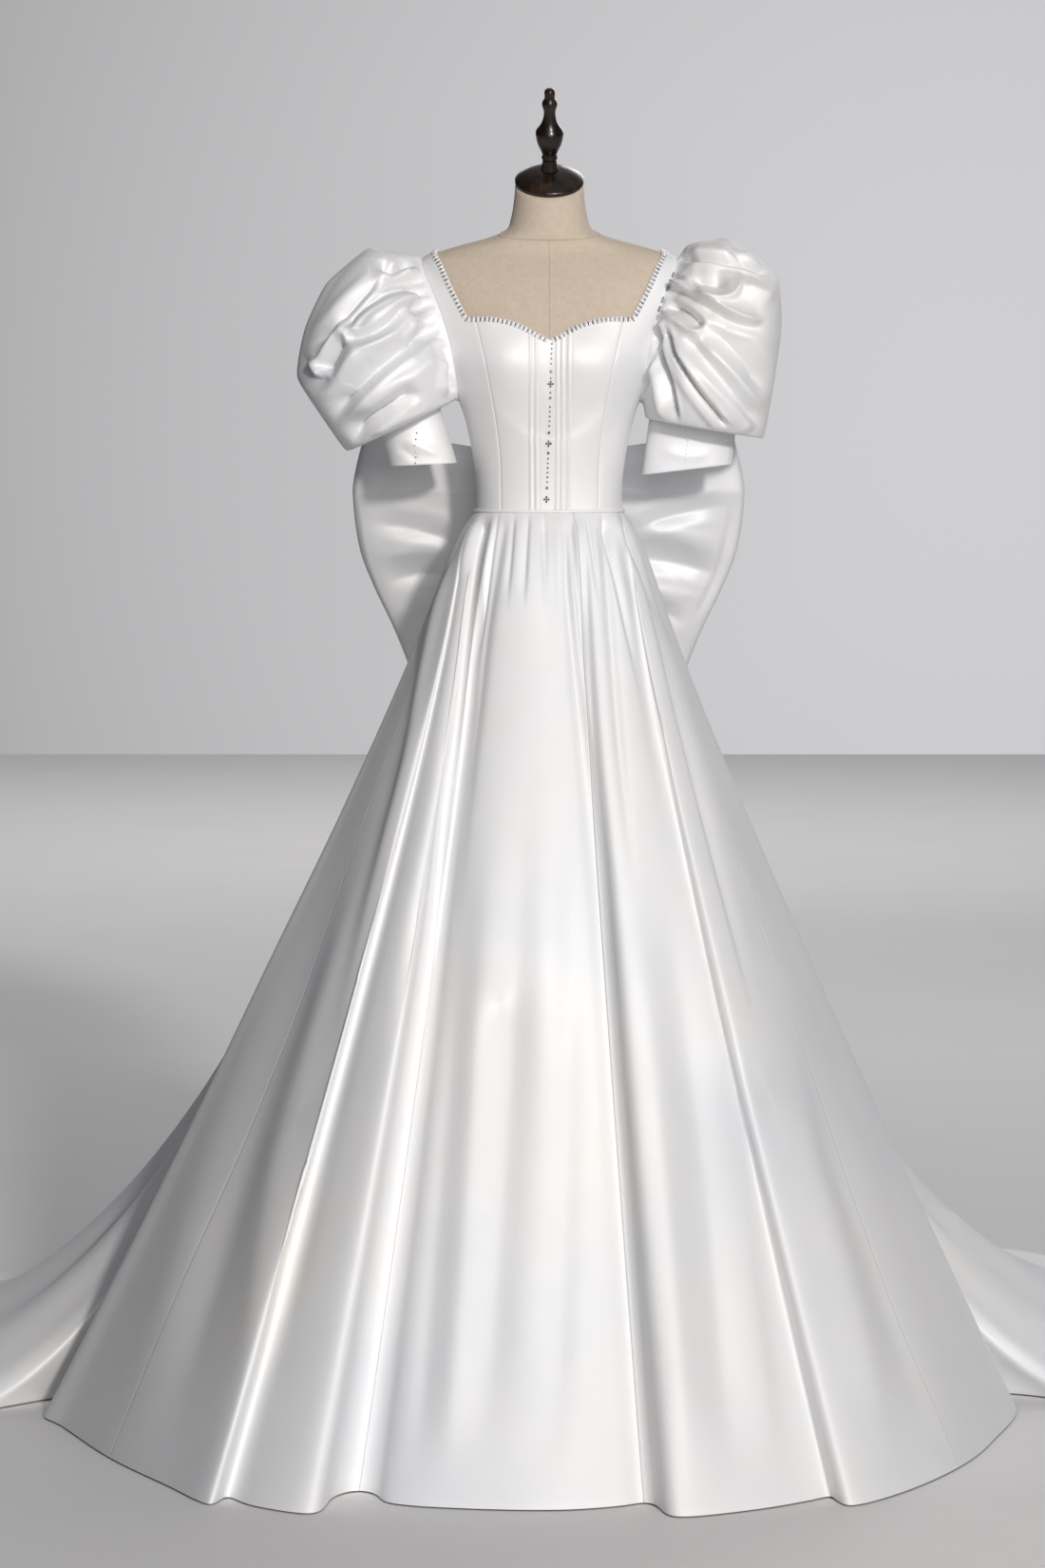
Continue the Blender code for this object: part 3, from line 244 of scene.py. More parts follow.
# Skirt in millimetres: turn of the waist in degrees, hem x and y, landing x and y, flow, lift.
# A short row lands at its hem, with no flow or lift.
SKIRT_STATIONS = (
    (-180, 0, 1450, 0, 650, 1, 0), (-172, -160, 1455, -95, 710, 1, 34),
    (-163, -330, 1415, -185, 615, 1, 0), (-154, -490, 1375, -300, 670, 1, 30),
    (-146, -640, 1300, -360, 560, 1, 0), (-138, -790, 1215, -475, 585, 1, 34),
    (-131, -920, 1100, -515, 465, 1, 0), (-126, -1030, 945, -600, 465, 1, 30),
    (-121.5, -1100, 760, -585, 375, 1, 0), (-117, -1145, 540, -635, 330, 1, 28),
    (-113, -1140, 300, -620, 270, 1, 0), (-109.5, -1075, 60, -630, 230, 1, 16),
    (-106, -960, -85, -620, 195, 1, 4), (-103, -850, -60, -620, 170, 0.9, 0),
    (-100, -765, 20, -620, 140, 0.7, 0), (-97, -700, 75, -620, 105, 0.4, 0),
    (-94, -650, 45, -630, 45, 0, 0), (-90, -723, -55), (-87, -694, -121), (-82, -604, -346),
    (-77, -510, -527), (-72, -446, -642), (-69, -428, -590), (-66, -396, -642), (-58, -310, -693),
    (-53, -286, -588), (-49, -255, -553), (-46, -230, -580), (-42, -217, -628), (-27, -137, -659),
    (-4, 10, -672), (11, 108, -640), (15, 120, -622), (19, 137, -642), (24, 158, -712), (38, 262, -672),
    (53, 358, -600), (57, 368, -584), (61, 388, -648), (67, 465, -567), (74, 555, -407), (81, 612, -251),
    (90, 673, 20), (94, 600, 100, 580, 100, 0, 0), (97, 645, 108, 550, 122, 0.4, 0),
    (100, 712, 80, 524, 166, 0.7, 0), (103, 800, 10, 538, 202, 0.9, 0), (106, 920, -35, 530, 230, 1, 4),
    (109.5, 1050, 80, 530, 260, 1, 16), (113, 1130, 310, 515, 300, 1, 0),
    (117, 1150, 560, 530, 355, 1, 28), (121.5, 1120, 800, 505, 405, 1, 0),
    (126, 1040, 1000, 530, 485, 1, 30), (131, 930, 1160, 510, 475, 1, 0),
    (138, 790, 1275, 470, 590, 1, 34), (146, 640, 1350, 355, 565, 1, 0),
    (154, 490, 1405, 295, 675, 1, 30), (163, 330, 1435, 185, 615, 1, 0), (172, 160, 1455, 95, 705, 1, 34),
    (180, 0, 1450, 0, 650, 1, 0),
)
# Skirt panels: name, turn of the seam where it starts and where it ends, columns
SKIRT_PANELS = (
    ("back_right", -180.0, -131.0, 90),
    ("side_back_right", -131.0, -82.0, 150),
    ("side_front_right", -82.0, -49.0, 130),
    ("front", -49.0, 15.0, 110),
    ("side_front_left", 15.0, 74.0, 130),
    ("side_back_left", 74.0, 131.0, 158),
    ("back_left", 131.0, 180.0, 90),
)
SKIRT_ROWS = 100
ROW_CROWD = 1.15          # power that brings the rows closer to the waist
PLEAT_SOFT = (            # shift along the hem, weight: rounds the pleats a little
    (-0.024, 0.08), (-0.016, 0.14), (-0.008, 0.18), (0.0, 0.20), (0.008, 0.18), (0.016, 0.14), (0.024, 0.08),
)
SKIRT_SEAM_DROP = 0.0003
HEM_Z = 0.0023
HEM_LIFT = 0.4            # shares of a station's lift at the hem and where the train lands
LAND_LIFT = 1.6
FALL_IN = (0.300, 0.640)  # how far out the skirt is, a third and two thirds of the way down
FLOW_REACH = 0.60         # the same for the train, and its height there
FLOW_DROP = 0.40
HIP_PUFF = 0.010          # swell of the gathers below the waist, and where it is widest
HIP_PUFF_AT = 0.045
KNOT_HALF_WIDTH = 0.030
KNOT_LOW = 1.2940
KNOT_HIGH = 1.3720
KNOT_DEPTH = 0.052
KNOT_EDGE = 0.010
KNOT_SEAT = 0.0004
KNOT_GRID = (48, 72)
LOOP_GRID = (84, 150)
LOOP_ROOT_GAP = 0.0008
LOOP_PATH = (             # share of the way round, share of the reach, distance behind the knot's front
    (0.00, 0.000, 0.020),
    (0.10, 0.160, 0.024),
    (0.25, 0.480, 0.034),
    (0.38, 0.800, 0.046),
    (0.46, 0.965, 0.058),
    (0.50, 1.000, 0.076),
    (0.54, 0.965, 0.094),
    (0.62, 0.800, 0.108),
    (0.75, 0.480, 0.100),
    (0.90, 0.160, 0.066),
    (1.00, 0.000, 0.046),
)
LOOP_REACH = (            # height, reach from the centre
    (1.000, 0.180),
    (1.040, 0.200),
    (1.090, 0.219),
    (1.126, 0.234),
    (1.174, 0.256),
    (1.230, 0.276),
    (1.310, 0.285),
    (1.345, 0.281),
    (1.405, 0.266),
)
LOOP_TOP = (1.363, 1.402)
LOOP_BOTTOM = (1.303, 1.030)
LOOP_LEAN = 0.46          # how far the loops lean back below the knot
LOOP_SPREAD = 0.75        # power by which a loop opens away from the knot
LOOP_FOLDS = (            # share down the loop, half width, rise
    (0.12, 0.07, 0.006),
    (0.30, 0.08, -0.009),
    (0.50, 0.09, 0.010),
    (0.70, 0.08, -0.009),
    (0.86, 0.07, 0.007),
)

# Rows of the linen torso: from, to, number, with more over the shoulders
TORSO_ROWS = ((FORM_SECTIONS[0][0], NECK_TOP, 110), (1.630, 1.700, 30))
TORSO_STEP = 2.5          # degrees between its columns

# Trim and beads
BAR_PITCH = 0.0066
BAR_STRETCH = 2.2         # half of the straight part of a bar, in radii
NECKLINE_BEADS = (        # name, place of the first, distance in from the edge, rise, radius, material
    ("neckline_bars", 0.0033, 0.0030, 0.0007, 0.00125, "pearl"),
    # dark beads in the gaps between the bars, which also paint the shade of those gaps
    ("neckline_dots_gap_shade", 0.0066, 0.0038, 0.0004, 0.00105, "dark_crystal"),
)
CRYSTAL_SIZES = {"small": 0.0015, "medium": 0.0022, "large": 0.0016}
CRYSTAL_RISE = 0.0005
PETALS = ((0.0030, 0.0), (-0.0030, 0.0), (0.0, 0.0032), (0.0, -0.0032))     # round a large crystal
PETAL_SIZE = 0.0018
# Crystals down the centre front: height, kind
CENTRE_CRYSTALS = (
    (1.4863, "medium"), (1.4693, "large"), (1.4502, "medium"), (1.4014, "medium"), (1.3862, "large"),
    (1.3729, "medium"), (1.3236, "medium"), (1.3075, "large"),
)
CENTRE_PITCH = 0.0066
CENTRE_LINE = ((1.5235, 0.0036), (1.3005, -0.0046))    # height and place across, top and bottom
ARMHOLE_CRYSTALS = (41.8, 55.7, 65.7, 73.5)            # armhole angles
ARMHOLE_CRYSTAL_IN = 0.003
ARMHOLE_CRYSTAL_RISE = 0.0012
ARMHOLE_CRYSTAL_SIZE = 0.0014
CUFF_BEADS = (            # side, across, pitch, radius, material
    ("right", 0.1885, 0.0082, 0.0015, "dark_crystal"),
    ("left", 0.1945, 0.0052, 0.0015, "pearl"),
    ("left", 0.2520, 0.0052, 0.0015, "pearl"),
)
CUFF_BEAD_ENDS = (0.005, 0.006)     # plain cuff below and above the beads
PIPING_RADIUS = 0.0024
PIPING_RISE = 0.0014
NECK_SEAM_Z = 1.684
NECK_SEAM_SLOPE = 0.0135
NECK_SEAM_RADIUS = 0.0009
LINEN_SEAMS = (           # name, turn, from, to
    ("front_seam", 0.0, 1.500, 1.672),
    ("back_seam", 180.0, 1.540, 1.690),
)
LINEN_SEAM_RADIUS = 0.0007

# Light: name, kind, place, aim, size, power, colour; and the world's brightness by direction
LAMPS = (
    ("key", "SUN", (0.80, -3.0, 1.97), (0.0, 0.0, 1.1), 0.07, 1.65, (1.0, 0.968, 0.925)),
    ("near", "AREA", (0.60, -2.6, 2.10), (0.0, 0.0, 1.3), 1.5, 28.0, (1.0, 0.968, 0.925)),
    ("back", "AREA", (1.8, 4.5, 3.6), (0.0, 0.0, 1.1), 2.5, 50.0, (1.0, 0.99, 0.97)),
    ("floor", "AREA", (0.0, 9.5, 4.5), (0.0, 9.8, 0.0), 6.0, 170.0, (1.0, 0.99, 0.98)),
)
WORLD_LEVELS = (          # axis, from, to, level at each end
    ("Y", 0.965, 0.998, 0.50, 1.0),
    ("X", -0.12, 0.12, 0.50, 0.75),
    ("X", -0.62, -0.10, 0.12, 1.0),
    ("X", 0.12, 0.72, 1.0, 0.35),
    ("Y", -0.2, 0.5, 0.0, 1.0),
)
WORLD_TINTS = ((0.76, 0.82, 0.99, 1.0), (0.90, 0.89, 0.91, 1.0))      # by the last row of the levels
FLOOR_CORNERS = ((-14, -9, 0), (14, -9, 0), (14, 14, 0), (-14, 14, 0))

# The camera and the plane of the front view on which the folds below are drawn
CAMERA_AT = (-0.038, -7.0, 1.415)
CAMERA_TILT = math.radians(85.8)
CAMERA_LENS = 113.04
DRAWN_Y = -0.10
EDGE_SOFT = 0.002         # rounding of a sleeve's outline
VALLEY = 0.95             # power of a fold's profile: 2 is round, 1 sharp
RIDGE = 1.35
SOFT = 1.8
LIP = 0.22                # rise of the cloth beside a valley
FACING = 0.40             # how far cloth faces forward where drawn folds have their whole height
STRENGTH = {"sleeve": 1.35, "sleeve_back": 0.8, "cuff": 1.0, "bow": 1.5, "skirt": 0.9}

# Folds drawn in the front view, in millimetres: rise, half width on the left and on the right of its
# direction, share of its length over which it fades in and out, points (x, z)
SLEEVE_STROKES = {
    "right": (
        (-7.5, 6.5, 9.5, 0.16, 0.25, ((-233, 1620), (-252, 1603), (-283, 1572), (-314, 1537),
         (-340, 1515))),
        (4, 20, 12, 0.2, 0.25, ((-207, 1620), (-231, 1608), (-266, 1579), (-293, 1551), (-318, 1523))),
        (-11.5, 6.2, 14.9, 0.1, 0.12, ((-160, 1591), (-176, 1595), (-189, 1603), (-217, 1599),
         (-248, 1584), (-273, 1565), (-288, 1544))),
        (9, 13.8, 16.1, 0.3, 0.33, ((-172, 1585), (-196, 1585), (-221, 1577), (-248, 1558), (-269, 1548))),
        (-10.3, 6.2, 9, 0.1, 0.12, ((-288, 1535), (-266, 1534), (-242, 1541), (-221, 1556), (-207, 1572),
         (-189, 1580), (-162, 1585))),
        (-19, 15, 6.5, 0.25, 0.18, ((-289, 1539), (-299, 1523), (-309, 1506), (-319, 1492), (-323, 1485))),
        (6, 6, 6, 0.3, 0.3, ((-336, 1506), (-332, 1492), (-326, 1482), (-318, 1484))),
        (-6, 6.5, 13, 0.3, 0.4, ((-347, 1512), (-341, 1498), (-333, 1482), (-321, 1474), (-300, 1478))),
        (10, 25.3, 25.3, 0.2, 0.33, ((-162, 1568), (-190, 1551), (-221, 1534), (-255, 1520), (-283, 1499),
         (-311, 1465))),
        (-16.5, 7.5, 17, 0.08, 0.15, ((-148, 1559), (-176, 1537), (-203, 1516), (-238, 1489), (-269, 1459),
         (-294, 1432), (-307, 1420))),
        (-5.7, 5, 9, 0.2, 0.33, ((-176, 1582), (-193, 1558), (-207, 1541), (-224, 1530))),
        (-6.9, 5, 7.4, 0.1, 0.33, ((-150, 1546), (-172, 1537), (-186, 1520), (-191, 1499))),
        (-5.7, 5, 7.4, 0.1, 0.33, ((-145, 1534), (-162, 1534), (-176, 1525))),
        (9, 23, 23, 0.2, 0.25, ((-155, 1523), (-183, 1489), (-214, 1465), (-249, 1440), (-283, 1413))),
        (-15, 7.5, 15, 0.2, 0.18, ((-180, 1461), (-207, 1447), (-231, 1430), (-256, 1413), (-279, 1388))),
        (-5.7, 5, 7.4, 0.3, 0.33, ((-186, 1447), (-214, 1430), (-238, 1416), (-266, 1397))),
        (5, 11.5, 11.5, 0.3, 0.25, ((-162, 1444), (-190, 1428), (-221, 1413), (-252, 1392))),
        (-9.2, 5, 9, 0.1, 0.33, ((-143, 1527), (-137, 1506), (-139, 1478), (-131, 1447))),
        (6, 9.2, 9.2, 0.2, 0.33, ((-148, 1506), (-150, 1478), (-148, 1447))),
        (-11, 6.2, 7.4, 0.2, 0.25, ((-234, 1645), (-229, 1634), (-217, 1629), (-203, 1634), (-186, 1634))),
        (6, 4.6, 4.6, 0.2, 0.25, ((-207, 1629), (-196, 1624), (-181, 1627))),
        (-6.9, 5, 7.4, 0.1, 0.33, ((-170, 1611), (-196, 1614), (-224, 1608), (-248, 1592))),
        (-6.9, 5, 7.4, 0.1, 0.33, ((-158, 1582), (-183, 1572), (-203, 1566))),
        (-5.7, 5, 7.4, 0.1, 0.33, ((-153, 1570), (-176, 1558), (-190, 1548))),
    ),
    "left": (
        (-11, 7, 4, 0.1, 0.2, ((161, 1610), (166, 1628), (179, 1640), (212, 1644), (243, 1640),
         (277, 1632), (317, 1613))),
        (6, 10, 7, 0.25, 0.3, ((170, 1638), (180, 1648), (212, 1652), (246, 1648), (280, 1638),
         (314, 1621))),
        (-7, 4, 6, 0.25, 0.25, ((244, 1665), (258, 1649), (280, 1635), (315, 1620))),
        (-12, 16, 16, 0.4, 0.3, ((182, 1618), (199, 1614), (216, 1611), (236, 1610), (253, 1611))),
        (8, 4, 12, 0.3, 0.3, ((262, 1630), (266, 1611), (257, 1591), (233, 1585), (213, 1591),
         (192, 1603))),
        (11, 10, 4, 0.06, 0.2, ((161, 1609), (189, 1605), (213, 1593), (236, 1577), (260, 1564),
         (284, 1556), (302, 1559))),
        (-8, 4, 9, 0.06, 0.25, ((162, 1605), (175, 1599), (202, 1586), (236, 1567), (263, 1554),
         (290, 1548), (306, 1555))),
        (-8, 4, 5, 0.1, 0.35, ((163, 1618), (182, 1614), (202, 1602), (219, 1588))),
        (-17, 7, 7, 0.15, 0.25, ((161, 1580), (182, 1573), (199, 1561), (214, 1545))),
        (10, 4, 7, 0.1, 0.2, ((159, 1570), (179, 1558), (196, 1544), (219, 1540))),
        (11, 13, 8, 0.06, 0.15, ((156, 1560), (167, 1524), (186, 1487), (213, 1446), (237, 1416),
         (250, 1401))),
        (-16, 4, 8, 0.12, 0.12, ((162, 1551), (177, 1511), (198, 1473), (216, 1448), (233, 1428),
         (249, 1408))),
        (10, 11, 15, 0.15, 0.12, ((177, 1534), (194, 1509), (218, 1479), (247, 1448), (270, 1421),
         (287, 1401))),
        (-11, 9, 14, 0.15, 0.15, ((186, 1538), (206, 1514), (237, 1480), (267, 1444), (298, 1408))),
        (-13, 4, 8, 0.05, 0.15, ((154, 1556), (157, 1517), (166, 1470), (179, 1411))),
        (8, 9, 9, 0.1, 0.2, ((151, 1534), (150, 1490), (155, 1450), (163, 1413))),
        (-8, 4, 6, 0.08, 0.3, ((152, 1544), (148, 1514), (138, 1477), (126, 1443))),
        (-12, 16, 20, 0.2, 0.25, ((216, 1553), (247, 1527), (280, 1494), (306, 1450))),
        (7, 14, 14, 0.25, 0.3, ((203, 1538), (236, 1507), (270, 1470), (299, 1430))),
        (-7, 4, 5, 0.08, 0.4, ((158, 1601), (167, 1593), (174, 1583))),
        (-6, 4, 5, 0.2, 0.4, ((260, 1665), (270, 1655), (271, 1648))),
        (6, 14, 10, 0.3, 0.3, ((263, 1608), (290, 1598), (317, 1585))),
    ),
}
# Straight outlines of the sleeves in the front view: from (x, z) to (x, z)
SLEEVE_EDGES = {
    "right": (
        (-0.181, 1.642, -0.252, 1.658),
        (-0.254, 1.657, -0.312, 1.610),
        (-0.313, 1.609, -0.343, 1.548),
        (-0.344, 1.544, -0.350, 1.513),
        (-0.351, 1.472, -0.284, 1.372),
        (-0.279, 1.371, -0.209, 1.407),
        (-0.209, 1.407, -0.131, 1.442),
    ),
    "left": (
        (0.174, 1.660, 0.246, 1.671),
        (0.249, 1.671, 0.274, 1.656),
        (0.274, 1.656, 0.318, 1.621),
        (0.320, 1.613, 0.325, 1.546),
        (0.325, 1.546, 0.302, 1.391),
        (0.302, 1.388, 0.230, 1.402),
        (0.230, 1.402, 0.138, 1.414),
        (0.138, 1.414, 0.120, 1.434),
    ),
}

CUFF_STROKES = {
    "right": (
        (3, 8, 6, 0.3, 0.3, ((-205, 1392), (-180, 1380), (-150, 1368))),
        (-2, 6, 6, 0.3, 0.3, ((-215, 1384), (-195, 1370), (-180, 1360))),
    ),
    "left": (
        (2, 8, 8, 0.3, 0.3, ((150, 1380), (190, 1368), (230, 1372))),
    ),
}
BOW_STROKES = {
    "right": (
        (-12, 13, 20.3, 0.3, 0.4, ((-105, 1209), (-138, 1205), (-171, 1205), (-204, 1199), (-235, 1190))),
        (8, 20.3, 20.3, 0.3, 0.4, ((-111, 1171), (-145, 1155), (-185, 1145), (-218, 1145))),
        (6, 23.2, 23.2, 0.3, 0.4, ((-105, 1229), (-171, 1233), (-224, 1229), (-254, 1219))),
        (-7, 11.6, 14.5, 0.3, 0.4, ((-111, 1242), (-171, 1262), (-224, 1272), (-264, 1275))),
        (-4, 4.5, 9, 0.3, 0.4, ((-275, 1315), (-270, 1262), (-260, 1215), (-243, 1169), (-222, 1129))),
        (-6, 11.6, 11.6, 0.3, 0.4, ((-111, 1155), (-145, 1129), (-178, 1113))),
    ),
    "left": (
        (-10, 17.4, 13, 0.3, 0.4, ((111, 1225), (162, 1222), (208, 1211), (244, 1201))),
        (6, 20.3, 20.3, 0.3, 0.4, ((111, 1262), (162, 1262), (215, 1254), (252, 1242))),
        (7, 20.3, 20.3, 0.3, 0.4, ((115, 1193), (162, 1179), (208, 1171), (231, 1171))),
        (-7, 11.6, 11.6, 0.3, 0.4, ((122, 1171), (162, 1149), (195, 1131))),
        (-6, 11.6, 11.6, 0.3, 0.4, ((111, 1262), (162, 1282), (215, 1295), (257, 1302))),
        (-4, 9, 4.5, 0.3, 0.4, ((260, 1322), (249, 1262), (238, 1215), (216, 1166), (191, 1123))),
    ),
}
SKIRT_STROKES = (
    (-6, 4, 10, 0.02, 0.6, ((-106, 1288), (-131, 1235), (-165, 1155), (-198, 1049))),
    (5, 6, 6, 0.02, 0.5, ((-98, 1287), (-115, 1242), (-134, 1182))),
    (-7, 3, 8, 0.02, 0.5, ((-73, 1287), (-82, 1235), (-94, 1155), (-109, 1049))),
    (-4, 3, 6, 0.02, 0.5, ((-50, 1287), (-54, 1235), (-61, 1155))),
    (-5, 3, 6, 0.02, 0.5, ((-30, 1286), (-33, 1235), (-37, 1155))),
    (-4, 4, 4, 0.02, 0.6, ((-9, 1286), (-7, 1222), (-6, 1155))),
    (-6, 7, 3, 0.02, 0.5, ((29, 1286), (34, 1222), (45, 1102), (55, 995))),
    (-4, 4, 3, 0.02, 0.5, ((52, 1287), (60, 1235), (71, 1155))),
    (-7, 8, 3, 0.02, 0.5, ((74, 1287), (88, 1222), (109, 1129), (133, 1022))),
    (5, 6, 6, 0.02, 0.5, ((90, 1288), (111, 1235), (135, 1169))),
    (-6, 10, 4, 0.02, 0.6, ((100, 1291), (128, 1222), (162, 1142), (191, 1049))),
    (9, 10, 10, 0.03, 0.5, ((-106, 1292), (-121, 1263), (-138, 1225), (-160, 1138), (-179, 1043),
     (-200, 934), (-259, 727), (-326, 471))),
    (-12, 11, 12, 0.03, 0.4, ((-91, 1290), (-103, 1233), (-119, 1124), (-138, 988), (-152, 880),
     (-190, 700), (-225, 500))),
    (9, 6, 8, 0.03, 0.5, ((-73, 1293), (-83, 1252), (-101, 1152), (-119, 1015), (-133, 917), (-158, 700),
     (-180, 480))),
    (-6, 8, 12, 0.05, 0.5, ((-62, 1290), (-72, 1230), (-87, 1140), (-102, 1015), (-116, 900), (-140, 680))),
    (-4, 12, 14, 0.1, 0.6, ((-6, 1287), (-1, 1249), (4, 1200), (10, 1060))),
    (-6, 9, 7, 0.05, 0.5, ((22, 1288), (24, 1240), (25, 1180), (37, 1048), (50, 917), (58, 760))),
    (6, 10, 12, 0.05, 0.5, ((36, 1288), (37, 1233), (40, 1179), (52, 1048), (66, 917), (80, 760))),
    (-7, 7, 9, 0.05, 0.5, ((73, 1290), (78, 1240), (83, 1179), (93, 1048), (104, 917), (122, 740))),
    (-7, 14, 12, 0.1, 0.5, ((104, 1285), (114, 1220), (126, 1152), (147, 988), (172, 820))),
    (-9, 10, 4.5, 0.03, 0.5, ((98, 1293), (129, 1228), (150, 1152), (178, 1029), (206, 917), (250, 740),
     (300, 540))),
    (-14, 30, 34, 0.4, 0.3, ((-235, 960), (-333, 673), (-427, 403), (-537, 0), (-560, -80))),
    (-12, 26, 30, 0.4, 0.3, ((330, 620), (392, 403), (460, 227), (515, 64), (545, -59))),
    (-6, 28, 28, 0.4, 0.2, ((-28, 1050), (-38, 808), (-60, 403), (-95, -86))),
    (-6, 24, 28, 0.4, 0.2, ((20, 950), (29, 673), (22, 268), (4, -100))),
    (7, 26, 26, 0.4, 0.2, ((-75, 900), (-95, 673), (-120, 268), (-150, -100))),
    (-7, 24, 22, 0.4, 0.2, ((-110, 800), (-135, 560), (-160, 268), (-192, -100))),
    (8, 24, 24, 0.4, 0.2, ((110, 800), (150, 500), (175, 200), (200, -110))),
    (-8, 22, 26, 0.4, 0.2, ((150, 850), (200, 500), (240, 150), (262, -110))),
    (8, 22, 26, 0.4, 0.2, ((180, 830), (245, 500), (290, 150), (318, -100))),
    (9, 30, 30, 0.4, 0.2, ((300, 700), (400, 300), (455, 60), (480, -60))),
    (-8, 22, 24, 0.4, 0.3, ((-190, 1000), (-270, 673), (-350, 350), (-400, 0))),
    (8, 22, 24, 0.4, 0.3, ((-215, 960), (-300, 673), (-385, 370), (-445, 0))),
    (8, 28, 30, 0.4, 0.3, ((-250, 1000), (-375, 673), (-490, 350), (-600, 0))),
)


def mix(low, high, share):
    """Straight mix of two values."""
    return low * (1.0 - share) + high * share


def smooth_step(low, high, value):
    """Smooth rise from 0 at low to 1 at high."""
    share = np.clip((value - low) / (high - low), 0.0, 1.0)
    return share * share * (3.0 - 2.0 * share)


def read_table(rows, key):
    """A table's other columns at values of its first column, on smooth curves."""
    table = np.asarray(rows, float)
    keys = table[:, 0]
    last = len(keys) - 1
    key = np.clip(np.asarray(key, float), keys[0], keys[last])
    index = np.clip(np.searchsorted(keys, key) - 1, 0, last - 1)
    before, after = np.maximum(index - 1, 0), np.minimum(index + 2, last)
    span = keys[index + 1] - keys[index]
    share = ((key - keys[index]) / span)[..., None]
    low, high = table[index], table[index + 1]
    slope_low = (high - table[before]) * (span / (keys[index + 1] - keys[before]))[..., None]
    slope_high = (table[after] - low) * (span / (keys[after] - keys[index]))[..., None]
    square, cube = share ** 2, share ** 3
    values = ((2 * cube - 3 * square + 1) * low + (cube - 2 * square + share) * slope_low
              + (3 * square - 2 * cube) * high + (cube - square) * slope_high)
    return np.moveaxis(values[..., 1:], -1, 0)


def unit(vectors):
    """Vectors of length one."""
    return vectors / np.maximum(np.linalg.norm(vectors, axis=-1, keepdims=True), 1e-9)


def signed_power(value, power):
    """Power of a value's size that keeps its sign."""
    return np.sign(value) * np.abs(value) ** power


def body_surface(turn, height):
    """Points of the form's surface at turns in degrees from the front centre."""
    turn, height = np.broadcast_arrays(np.asarray(turn, float), np.asarray(height, float))
    half, front, back, power = read_table(FORM_SECTIONS, height)
    sine, cosine = np.sin(np.radians(turn)), np.cos(np.radians(turn))
    bend = 2.0 / power
    x = signed_power(sine, bend) * half
    y = -signed_power(cosine, bend) * np.where(cosine > 0, front, back)
    away = ((np.abs(x) - BUST_X) ** 2 + (height - BUST_Z) ** 2) / BUST_SPREAD ** 2
    y = y - BUST_RISE * np.exp(-away) * np.maximum(cosine, 0.0) ** bend
    return np.stack([x, y, height], -1)


def body_normal(turn, height):
    """Outward direction of the form's surface."""
    turn, height = np.broadcast_arrays(np.asarray(turn, float), np.asarray(height, float))
    across = body_surface(turn + 0.4, height) - body_surface(turn - 0.4, height)
    up = body_surface(turn, height + 0.0008) - body_surface(turn, height - 0.0008)
    return unit(np.cross(across, up))


def body_point(turn, height, offset):
    """Points at a distance out from the form's surface."""
    offset = np.asarray(offset, float)[..., None]
    return body_surface(turn, height) + body_normal(turn, height) * offset


def ease(height):
    """Distance from the form to the inside of the cloth."""
    share = np.clip((height - SHOULDER_FROM) / (SHOULDER_TO - SHOULDER_FROM), 0.0, 1.0)
    return mix(EASE, SHOULDER_EASE, share)


def turn_at(across, height):
    """Turn at which the front of the form has a given distance from the centre."""
    half, _, _, power = read_table(FORM_SECTIONS, height)
    share = np.minimum(np.abs(across) / (half + EASE + CLOTH), 1.0)
    return np.sign(across) * np.degrees(np.arcsin(share ** (power / 2.0)))


def grid_normals(points, wraps=False):
    """Directions square to a grid of points, from its neighbours along both ways."""
    if wraps:
        across = np.roll(points, -1, 1) - np.roll(points, 1, 1)
    else:
        across = np.gradient(points, axis=1)
    along = np.gradient(points, axis=0)
    return unit(np.cross(across, along))


def drawn_place(points):
    """Where points are seen on the plane of the front view."""
    scale = (DRAWN_Y - CAMERA_AT[1]) / (points[..., 1] - CAMERA_AT[1])
    x = CAMERA_AT[0] + (points[..., 0] - CAMERA_AT[0]) * scale
    z = CAMERA_AT[2] + (points[..., 2] - CAMERA_AT[2]) * scale
    return x, z


def finer(points, steps=4):
    """A smooth curve through the points of a stroke."""
    keyed = [(index,) + tuple(point) for index, point in enumerate(points)]
    keys = np.linspace(0, len(points) - 1, (len(points) - 1) * steps + 1)
    return read_table(keyed, keys).T


def stroke_rise(x, z, strokes, strength, soft=False):
    """Height of drawn folds at places of the front view; soft ones are round and have no lips."""
    total = np.zeros(x.shape)
    for rise, left, right, fade_in, fade_out, points in strokes:
        left, right = left * MM, right * MM
        line = finer(points) * MM
        reach = 2.6 * max(left, right)
        low, high = line.min(0) - reach, line.max(0) + reach
        near = (x > low[0]) & (x < high[0]) & (z > low[1]) & (z < high[1])
        if not near.any():
            continue
        place = np.stack([x[near], z[near]], -1)[:, None, :]
        start, step = line[:-1], line[1:] - line[:-1]
        lengths = np.linalg.norm(step, axis=1)
        travelled = np.concatenate([[0.0], np.cumsum(lengths)])
        share = np.clip(((place - start) * step).sum(-1) / lengths ** 2, 0.0, 1.0)
        offset = place - (start + step * share[..., None])
        distance = np.linalg.norm(offset, axis=-1)
        best = distance.argmin(1)
        row = np.arange(len(best))
        side = step[best, 0] * offset[row, best, 1] - step[best, 1] * offset[row, best, 0]
        width = np.where(side > 0, left, right)
        along = (travelled[best] + share[row, best] * lengths[best]) / travelled[-1]
        fade = smooth_step(0.0, fade_in, along) * smooth_step(0.0, fade_out, 1.0 - along)
        away = distance[row, best] / width
        profile = np.exp(-away ** (SOFT if soft else VALLEY if rise < 0 else RIDGE))
        if rise < 0 and not soft:
            profile -= LIP * np.exp(-((away - 1.7) / 0.7) ** 2)
        total[near] += strength * rise * MM * fade * profile
    return total


# Meshes

